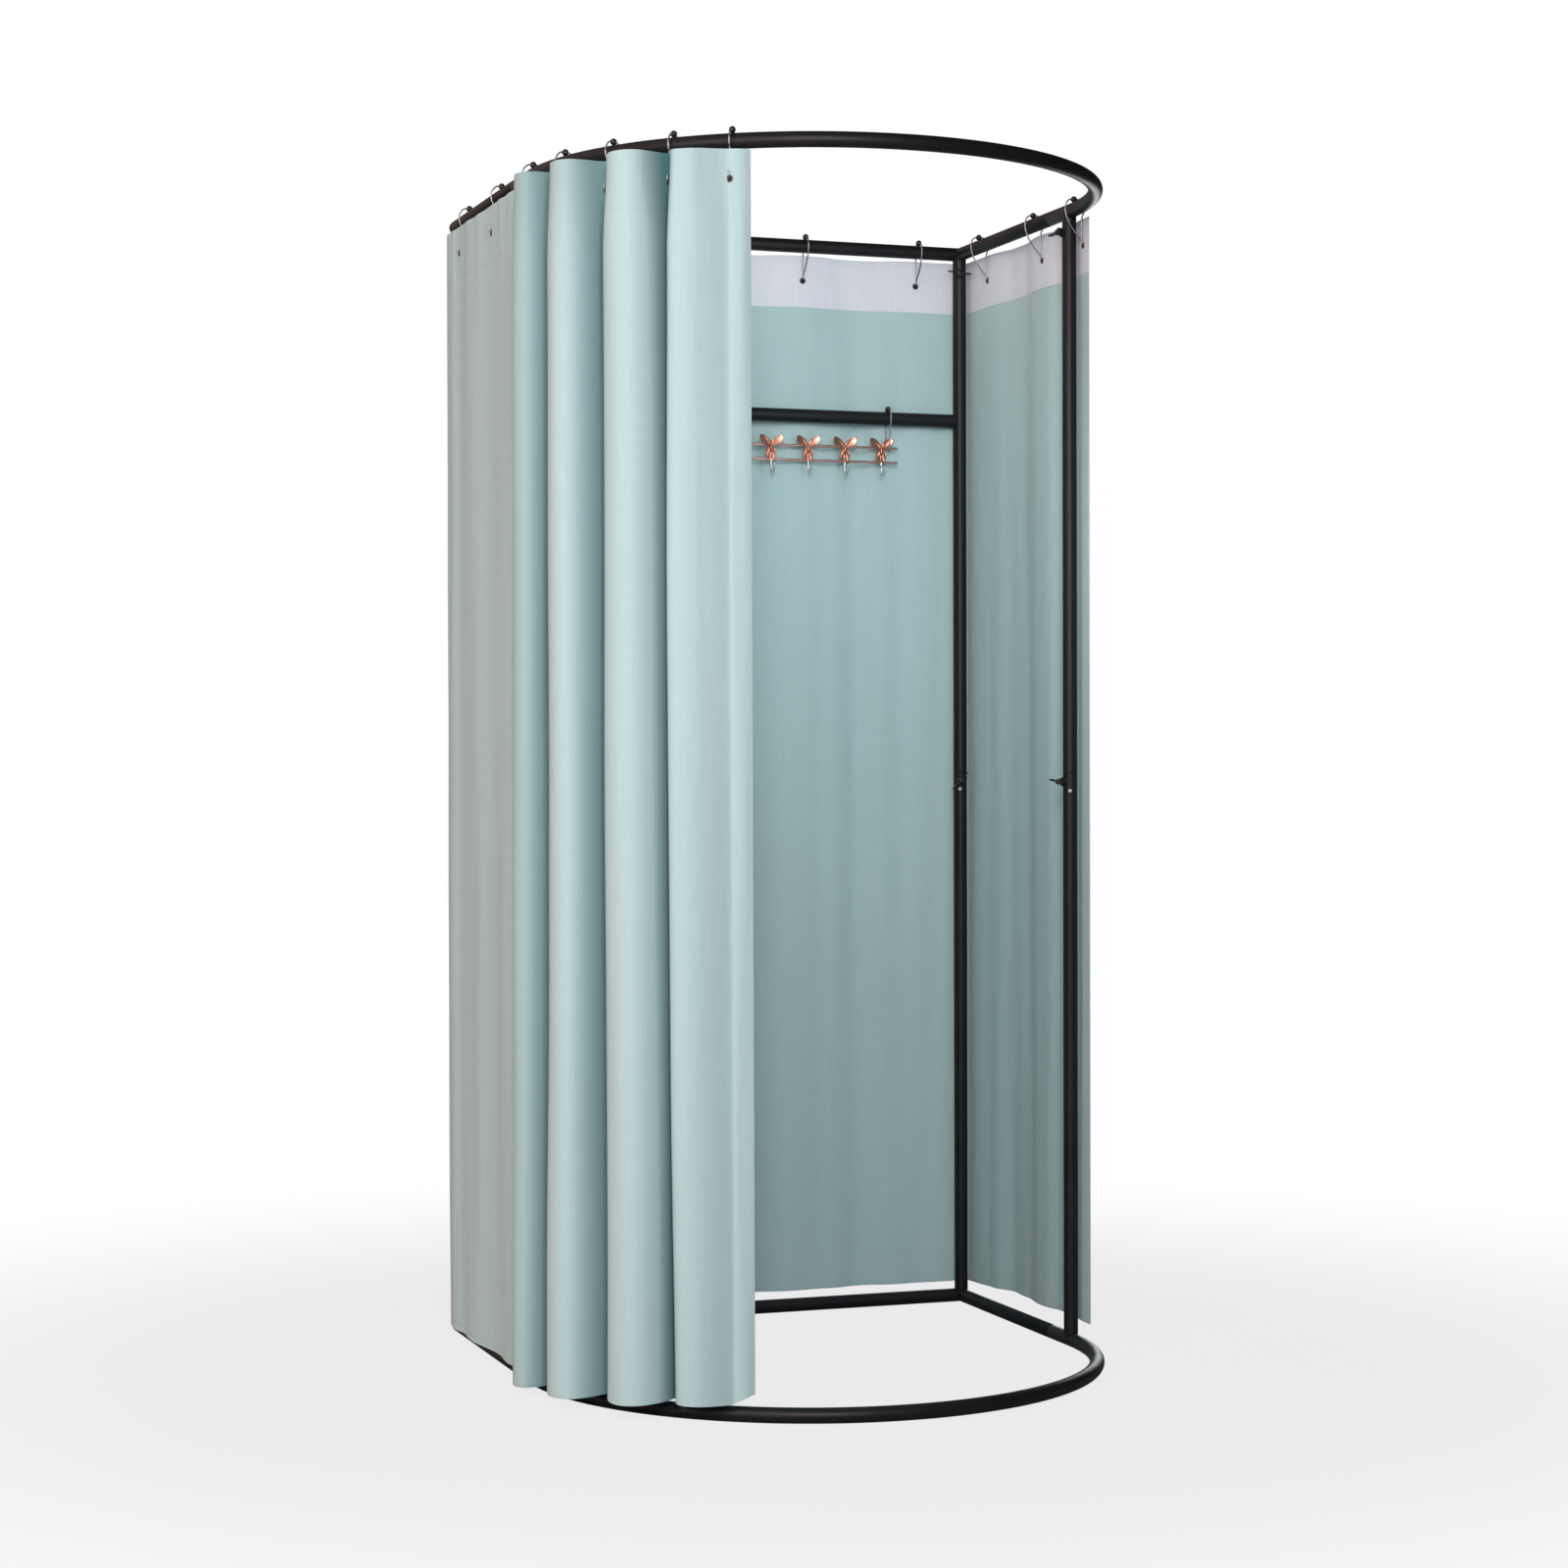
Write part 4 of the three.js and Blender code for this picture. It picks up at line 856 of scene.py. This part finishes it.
def cloth_grid(columns, place_at, hem_at, seed, drift_at, wave=DOOR_WAVE, nearest=0.0):
    """Points of a hanging cloth, one row per height: the rail's point at each place along it, and
    outwards by the reach. The reach comes no nearer than a length, by the mean of their sum and
    their rounded difference."""
    facts = columns.T[:, None, :]
    share, depth = facts[0, 0], facts[3, 0]
    drop = (np.linspace(0, 1, CLOTH_ROWS) ** 0.9)[:, None]
    below_band = np.clip(drop * (CLOTH_TOP / BAND_FADE), 0, 1)
    below_band = below_band * below_band * (3 - 2 * below_band)
    along = fold_line(facts, drop, below_band, seed, drift_at)
    reach = fold_reach(facts, along, drop, below_band, seed, wave)
    reach = (reach + nearest + np.hypot(reach - nearest, CLOTH_EASE)) / 2
    rail, out = place_at(along)
    plan = rail + out * reach[..., None] + MIDDLE[:2]
    top = CLOTH_TOP - SCALLOP * (1 - np.cos(2 * math.pi * share)) * (depth > 0)
    height = top + (hem_at(along[-1]) - top) * drop
    return np.concatenate([plan, height[..., None]], -1)


def slope_normals(grid):
    """Unit normals of a grid of points: the cross product of its two slopes."""
    down = np.gradient(grid, axis=0)
    along = np.gradient(grid, axis=1)
    normal = np.cross(along, down)
    return normal / np.linalg.norm(normal, axis=-1, keepdims=True)


def thick_sheet(outer, inner, across, painted_shade_share, name):
    """A closed thin wall between two grids, with UVs in metres: across, and the height, and its
    share of painted shade in the valleys between folds."""
    rows, columns = outer.shape[:2]
    count = rows * columns
    number = np.arange(count).reshape(rows, columns)
    faces = grid_quads(rows, columns)
    rim = np.concatenate([number[0, :-1], number[:-1, -1], number[-1, :0:-1], number[:0:-1, 0]])
    ahead = np.roll(rim, -1)
    edge = np.stack([rim, ahead, ahead + count, rim + count], -1)
    quads = np.concatenate([faces[:, ::-1], faces + count, edge])
    points = np.concatenate([outer.reshape(-1, 3), inner.reshape(-1, 3)])
    u = np.broadcast_to(across, (rows, columns))
    uv = np.stack([u, outer[..., 2]], -1).reshape(-1, 2)
    mesh = mesh_of(name, points, quads, np.concatenate([uv, uv]))
    layer = mesh.attributes.new("painted_shade_share", "FLOAT", "POINT")
    layer.data.foreach_set("value", np.tile(painted_shade_share.ravel(), 2).astype(np.float32))
    mesh.shade_smooth()
    mesh.set_sharp_from_angle(angle=math.radians(70))
    return mesh


def painted_valley_shade(grid):
    """Share of painted shade at each point, for how low it lies in a valley between travelling
    hooks: most at the rail's distance and 0 from half the fold's depth or more further out. It
    fades out before the flat side and the leading edge."""
    away = grid[..., :2] - MIDDLE[:2]
    reach = np.linalg.norm(away, axis=-1) - CLOTH_RADIUS
    angle = np.degrees(np.arctan2(-away[..., 1], away[..., 0]))
    inside = np.clip((angle - 127) / 3.5, 0, 1) * np.clip((176 - angle) / 4, 0, 1)
    full = np.interp(angle, [130, 134.5, 137, 143, 146], [0.036, 0.042, 0.055, 0.055, 0.075])
    most = np.interp(angle, [141, 146], [1.0, 0.7])
    return np.clip(1 - reach / full, 0, 1) ** 0.75 * most * inside


def developed(grid):
    """Length along the cloth at its middle height, from its first column."""
    middle = grid[grid.shape[0] // 2]
    return np.concatenate([[0], np.cumsum(np.linalg.norm(np.diff(middle, axis=0), axis=1))])


def joined_columns(columns):
    """Stretches of columns as one table, their shared columns once."""
    return np.vstack([columns[0]] + [part[1:] for part in columns[1:]])


def add_tape(name, grid, normal, across, painted_shade_share):
    """Tape on the inner face of the header, down to the band's lower edge between two rows."""
    edge = CLOTH_TOP - BAND
    last = int(np.argmin(grid[:, 0, 2] > edge))
    above, below = grid[last - 1], grid[last]
    share = np.clip((edge - below[:, 2]) / (above[:, 2] - below[:, 2]), 0, 1)
    band = np.concatenate([grid[:last], (below + (above - below) * share[:, None])[None]])
    facing = normal[:last + 1]
    outer = band - facing * (CLOTH_HALF + TAPE_GAP)
    inner = band - facing * (CLOTH_HALF + TAPE_FACE)
    # The tape takes the same painted shade in the valleys between folds.
    return add_piece(name, thick_sheet(outer, inner, across, painted_shade_share[:last + 1], name), TAPE, None)


def add_length(node, sheet, part, joined, flipped):
    """One length of a sheet's points, normals and developed lengths as its own piece with its
    header tape. joined is its body, or the two bodies on either side of it with the points where
    it starts and ends; these bodies and points are not used, and the pieces then stay unattached,
    with their placing baked into their points."""
    name = f"{node}_cloth"
    grid, normal, across = sheet[0][:, part], sheet[1][:, part], sheet[2][part]
    # Painted shade in the valleys, on the door's folds only.
    painted_shade_share = painted_valley_shade(grid) * ("fold" in name)
    turned_in = np.clip((grid[-1:, :, 2] + HEM - grid[..., 2]) / 0.0012 + 0.5, 0, 1)[..., None]
    outer = grid + normal * CLOTH_HALF
    inner = grid - normal * (CLOTH_HALF + HEM_FOLD * turned_in)
    cloth = add_piece(name, thick_sheet(outer, inner, across, painted_shade_share, name), LINEN, None, [node])
    tape = add_tape(f"{name}_tape", grid, normal, across, painted_shade_share)
    for piece in (cloth, tape):
        if isinstance(joined, str):
            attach(piece, joined)
        else:
            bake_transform(piece)
        if flipped:
            piece.data.flip_normals()
    height = float(np.mean(grid[0, :, 2] - grid[-1, :, 2]))
    float(across[-1] - across[0])


def door_hem(along):
    """Height of the door cloth's hem: level along the side, higher on the third fold and at the
    leading edge."""
    stops = [0, SIDE, *DOOR_HOOKS[1:], LEADING_EDGE]
    return np.interp(along, stops, [0.014, 0.025, 0.025, 0.029, 0.034, 0.030, 0.044])


def door_drift(along):
    """How far the hem of the door cloth drifts along the rail, given at the middle of each fold."""
    stops = np.concatenate([[SIDE], (DOOR_HOOKS[1:] + DOOR_HOOKS[:-1]) / 2, [DOOR_HOOKS[-1] + 0.03]])
    return np.interp(along, stops, [0.0, -0.010, 0.0, 0.008, 0.009, 0.003])


def add_left_and_door_cloth():
    """The whole cloth is worked out at once and then divided at the travelling hooks."""
    stops = [-0.006, *LEFT_HOOKS, DOOR_HOOKS[0]]
    columns = [span_columns(a, b, 26, SIDE_DEPTH) for a, b in zip(stops, stops[1:])]
    for a, b, *fold in zip(DOOR_HOOKS, DOOR_HOOKS[1:], FOLD_DEPTHS, FOLD_LEANS, FOLD_PINCHES):
        columns.append(span_columns(a, b, 60, *fold))
    columns.append(span_columns(DOOR_HOOKS[-1], LEADING_EDGE, 12, curl=LEADING_CURL))
    breaks = np.cumsum([0] + [len(part) - 1 for part in columns])
    grid = cloth_grid(joined_columns(columns), lambda s: side_place(s, -1), door_hem, 11, door_drift)
    sheet = grid, -slope_normals(grid), developed(grid)
    first = len(stops) - 1
    flat_side = slice(0, breaks[first] + 1)
    add_length("left_curtain", sheet, flat_side, "stand", False)
    for i in range(4):
        end = breaks[first + 1 + i] if i < 3 else breaks[-1]
        bodies = ("stand" if i == 0 else f"door_length_{i}", f"door_length_{i + 1}")
        bends = [np.append(side_place(s, -1)[0] + MIDDLE[:2], 1.0).tolist() for s in DOOR_HOOKS[i:i + 2]]
        part = slice(breaks[first + i], end + 1)
        add_length(f"door_fold_{i + 1}", sheet, part, (*bodies, *bends), False)


def back_hem(along):
    """Height of the back and right cloth's hem: a little higher on the right side."""
    return np.interp(along, [0, WIDTH, WIDTH + 0.2], [0.034, 0.036, 0.044])


def add_back_and_right_cloth():
    """Worked out at once too, and divided in the middle of the corner."""
    stops = [0.0, *BACK_HOOKS]
    columns = [span_columns(a, b, 30, BACK_DEPTH) for a, b in zip(stops, stops[1:])]
    columns.append(span_columns(BACK_HOOKS[-1], WIDTH, 12))
    columns.append(span_columns(WIDTH, WIDTH + CORNER / 2, 6))
    cut = sum(len(part) - 1 for part in columns)
    columns.append(span_columns(WIDTH + CORNER / 2, WIDTH + CORNER, 6))
    columns.append(span_columns(WIDTH + CORNER, RIGHT_HOOKS[0], 14))
    columns += [span_columns(a, b, 34, BACK_DEPTH) for a, b in zip(RIGHT_HOOKS, RIGHT_HOOKS[1:])]
    columns.append(span_columns(RIGHT_HOOKS[-1], LAP_EDGE, 10))
    table = joined_columns(columns)
    wave = np.where(table[:, 1] < WIDTH, BACK_WAVE, RIGHT_WAVE)
    grid = cloth_grid(table, back_place, back_hem, 29, lambda s: 0 * s, wave, BACK_NEAREST)
    sheet = grid, slope_normals(grid), developed(grid)
    add_length("back_curtain", sheet, slice(0, cut + 1), "stand", True)
    add_length("right_curtain", sheet, slice(cut, len(table)), "stand", True)


def eyelet_shape(rail, out):
    """Rolled metal ring in the cloth, and a dark disc in its hole that is painted shade, facing outwards.
    """
    spot = rail + out * CLOTH_OFFSET + MIDDLE[:2]
    matrix = aimed_at(spot, HIGH_RING - HOOK_DROP + EYELET_LIFT, Vector((out[0], out[1], 0)))
    turn = np.linspace(0, 2 * math.pi, 29)[:, None]
    section = np.linspace(0, 2 * math.pi, 10, endpoint=False)
    radius = EYELET + EYELET_RIM * np.cos(section)
    ring = np.stack(np.broadcast_arrays(
        radius * np.cos(turn), radius * np.sin(turn), 0.0017 * np.sin(section),
    ), -1)
    disc = turned([(0, -0.0021), (0.0034, -0.0018), (0.0040, 0), (0.0034, 0.0018), (0, 0.0021)], 24)
    return moved(ring, matrix), moved(disc, matrix)


def add_eyelets():
    groups = {
        "left": ("stand", [side_place(s, -1) for s in [*LEFT_HOOKS, DOOR_HOOKS[0]]]),
        "back": ("stand", [back_place(s) for s in BACK_HOOKS]),
        "right": ("stand", [back_place(s) for s in RIGHT_HOOKS]),
    }
    for i, distance in enumerate(DOOR_HOOKS[1:]):
        groups[f"door_{i + 1}"] = (f"door_length_{i + 1}", [side_place(distance, -1)])
    for label, (body, places) in groups.items():
        shapes = [eyelet_shape(*place) for place in places]
        rings = closed_shell([ring for ring, _ in shapes])
        add_piece(f"{label}_eyelet_rings", rings, EYELET_METAL, body)
        # The dark discs are painted shade in the eyelets' holes.
        discs = closed_shell([disc for _, disc in shapes])
        add_piece(f"{label}_eyelet_hole_shade_discs", discs, EYELET_HOLE_SHADE, body)


# -------- hook rack

# Corners of a plate's right edge, with the point that each curve bends towards between them
PLATE_EDGE = np.array([
    [0.0, 0.22],
    [0.30, 0.92], [0.86, 1.0],
    [1.12, 0.72], [0.82, 0.3],
    [0.6, 0.02], [0.24, -0.12],
    [0.56, -0.34], [0.34, -0.78],
    [0.2, -1.0], [0.0, -1.0],
])


def plate_outline():
    """Right edge of a butterfly plate as five quadratic curves, mirrored to the left."""
    t = np.linspace(0, 1, 9)[:-1, None]
    stretches = []
    for i in range(0, 10, 2):
        a, b, c = PLATE_EDGE[i:i + 3]
        stretches.append((1 - t) ** 2 * a + 2 * t * (1 - t) * b + t**2 * c)
    right = np.vstack(stretches + [PLATE_EDGE[-1:]])
    shares = np.vstack([right, right[-2:0:-1] * np.array([-1, 1])])
    tall = np.where(shares[:, 1] < 0, PLATE_FOOT, PLATE_RISE)
    return np.stack([shares[:, 0] * PLATE_HALF_WIDTH, shares[:, 1] * tall], -1)


def plate_shape(x, top):
    """Butterfly plate: its outline drawn in towards a middle point in steps, with a rounded rim.
    The wings bow forwards as the square of the distance from the middle, and each is ribbed by
    a sine of its angle round the middle point."""
    edge = plate_outline()
    middle = np.array([0, -PLATE_BOW])
    shares = np.array([0.0, 0.5, 0.93, 0.985, 1.0, 1.0, 0.985, 0.93, 0.85, 0.7, 0.55, 0.4, 0.25, 0.1, 0.0])
    depth = -0.001 * np.array([0, 0, 0, 0.2, 0.6, 1.7, 2.2, 2.4, 2.1, 2.1, 2.2, 2.3, 2.6, 3.0, 3.1])
    spread = middle + (edge - middle) * shares[:, None, None]
    away = np.abs(spread[..., 0]) / PLATE_HALF_WIDTH
    bow = -PLATE_BOW * away**2 * (spread[..., 1] > middle[1])
    angle = np.arctan2(spread[..., 1] - middle[1], np.abs(spread[..., 0]))
    rib = -PLATE_RIB * np.cos(angle * 11) * np.sin(math.pi * np.clip(shares, 0, 1))[:, None]
    rib = rib * (np.arange(len(shares)) > 6)[:, None]
    y = -RACK_BAR - 0.0003 + depth[:, None] + bow + rib
    return np.stack([spread[..., 0], y, spread[..., 1]], -1) + np.array([x, SIDE, top]) + MIDDLE


def prong_shape(x, top):
    """Forward prong with a ball tip: down past the lower bar, round a half circle and up."""
    front = -RACK_BAR - 0.0015
    low = -RACK_BAR_DROP - PRONG_DROP + PRONG_BEND
    angle = np.radians(np.linspace(0, 150, 12))
    curve = np.stack([front - PRONG_BEND * (1 - np.cos(angle)), low - PRONG_BEND * np.sin(angle)], -1)
    tip = np.array([[front - 2 * PRONG_BEND, low + PRONG_END]])
    line = np.vstack([[[front, -RACK_BAR_DROP]], [[front, low + PRONG_LEAD]], curve, tip])
    path = np.stack([0 * line[:, 0], line[:, 0], line[:, 1]], -1) + np.array([x, SIDE, top]) + MIDDLE
    return tube(path, (1, 0, 0), PRONG, 12), ball(path[-1], PRONG_BALL)


def add_rack():
    ends = [RACK_MIDDLE - RACK_LENGTH / 2, RACK_MIDDLE + RACK_LENGTH / 2]
    for label, height in (("upper", RACK_TOP), ("lower", RACK_TOP - RACK_BAR_DROP)):
        path = np.array([[x, SIDE, height] for x in ends]) + MIDDLE
        path, radii = soft_ended(path, RACK_ROD, 0.0005)
        mesh = closed_shell([tube(path, UP, radii, 20)])
        add_piece(f"rack_{label}_bar_rod", mesh, ROSE_BAR, "hook_rack", [f"rack_{label}_bar"])
    middle = (PLATE_COUNT - 1) / 2
    for i in range(PLATE_COUNT):
        x = RACK_MIDDLE + (i - middle) * PLATE_SPACING
        front = np.array([x, SIDE - RACK_BAR - KNOB, RACK_TOP - KNOB_DROP]) + MIDDLE
        plate = closed_shell([plate_shape(x, RACK_TOP), ball(front, KNOB, flat=(0.8, 0.8, 2.6))], 50)
        node = f"rack_hook_{i + 1}"
        add_piece(f"{node}_plate", plate, ROSE_PLATE, "hook_rack", [node])
        prong = closed_shell(list(prong_shape(x, RACK_TOP)))
        add_piece(f"{node}_prong", prong, BRIGHT_WIRE, "hook_rack")
    for label, side in (("left", -1), ("right", 1)):
        x = RACK_MIDDLE + side * (middle * PLATE_SPACING + 0.66 * PLATE_HALF_WIDTH)
        rail = np.array([x, SIDE]) + MIDDLE[:2]
        ring_hook(f"rack_hanger_{label}", rail, (0, 1), CROSSBAR, "rack_hangers", [rack_wire()])


# -------- studio

WHITE = (1.0, 1.0, 1.0, 1.0)
BRIGHT_SIDE = (-0.97, 0.12, -0.15)
DIM_SKY = (0.025, 0.042, 0.047, 1.0)
BRIGHT_SKY = (1.06, 0.78, 0.65, 1.0)
FLOOR_HALF = 30.0

# Place and target from MIDDLE, size, power in watts, colour
LAMPS = {
    "key": ((-2.5, -1.8, 1.7), (-0.35, -0.2, 1.15), (0.6, 1.9), 31, (1.0, 0.86, 0.88)),
    "front": ((-1.4, -4.35, 2.35), (-0.1, 0, 1.2), (0.8, 1.6), 134, (1.0, 0.90, 0.91)),
    "cabin": ((0.25, -0.28, 1.75), (-0.45, 0.42, 1.45), (0.16, 1.0), 2.9, (0.92, 1.0, 1.0)),
    "rear": ((2.2, 2.9, 1.0), (0.1, 0.2, 1.0), (1.4, 1.5), 34, (0.98, 1.0, 1.0)),
}


def backdrop_finish():
    """Pale studio paint. What the camera sees of it is partly its own white, more so far from
    the object, and the rest is lit, so that it keeps the object's shadow."""
    paint = Finish("studio_paint", roughness=0.9, color=(0.3, 0.3, 0.3, 1.0), Specular_IOR_Level=0.1)
    far = paint.node("ShaderNodeVectorMath", {"operation": "LENGTH"}, {0: paint.place()}, "Value")
    glow = paint.node("ShaderNodeEmission", {}, {"Color": WHITE})
    lit = Wire(paint, paint.shader.outputs[0])
    paint.whiten_for_camera(lit, glow, far.between(0.9, 2.6, 0.8, 1.0), "Material Output")
    return paint.material


def add_floor():
    """Floor: one large square."""
    corners = FLOOR_HALF * np.array([[-1, -1, 0], [1, -1, 0], [1, 1, 0], [-1, 1, 0]])
    mesh = mesh_of("floor", corners, [[0, 1, 2, 3]])
    mesh.materials.append(backdrop_finish())
    floor = bpy.data.objects.new("floor", mesh)
    bpy.context.scene.collection.objects.link(floor)


def add_world():
    """Soft light, brighter and warmer from the left than from the right: its strength and its
    colour follow the direction's share along a line. The camera sees white."""
    world = bpy.data.worlds.new("studio")
    world.use_nodes = True
    bpy.context.scene.world = world
    nodes = NodeTree(world.node_tree)
    sky = world.node_tree.nodes["Background"]
    place = nodes.node("ShaderNodeTexCoord", {}, {}, "Generated")
    dot = {"operation": "DOT_PRODUCT"}
    toward = nodes.node("ShaderNodeVectorMath", dot, {0: place, 1: BRIGHT_SIDE}, "Value")
    level = nodes.node("ShaderNodeMapRange", {}, {0: toward, 1: -0.2, 2: 0.95, 3: 0.0, 4: 1.0})
    nodes.plug(sky.inputs["Color"], nodes.mix(level, DIM_SKY, BRIGHT_SKY))
    white = nodes.node("ShaderNodeBackground", {}, {"Color": WHITE})
    nodes.whiten_for_camera(Wire(nodes, sky.outputs[0]), white, 1.0, "World Output")


def add_lamps():
    """Area lamps, which the camera doesn't see."""
    for name, (place, target, size, power, color) in LAMPS.items():
        lamp = bpy.data.lights.new(name, "AREA")
        lamp.shape = "RECTANGLE"
        lamp.size, lamp.size_y = size
        lamp.energy = power
        lamp.color = color
        light = bpy.data.objects.new(name, lamp)
        light.location = Vector(place) + Vector(MIDDLE)
        light.rotation_euler = (Vector(target) - Vector(place)).to_track_quat("-Z", "Y").to_euler()
        light.visible_camera = False
        bpy.context.scene.collection.objects.link(light)


add_rings()
add_posts()
add_wing_bolts()
add_cloth_hooks()
add_left_and_door_cloth()
add_back_and_right_cloth()
add_eyelets()
add_rack()
add_floor()
add_world()
add_lamps()
bpy.context.scene.view_settings.view_transform = "Standard"
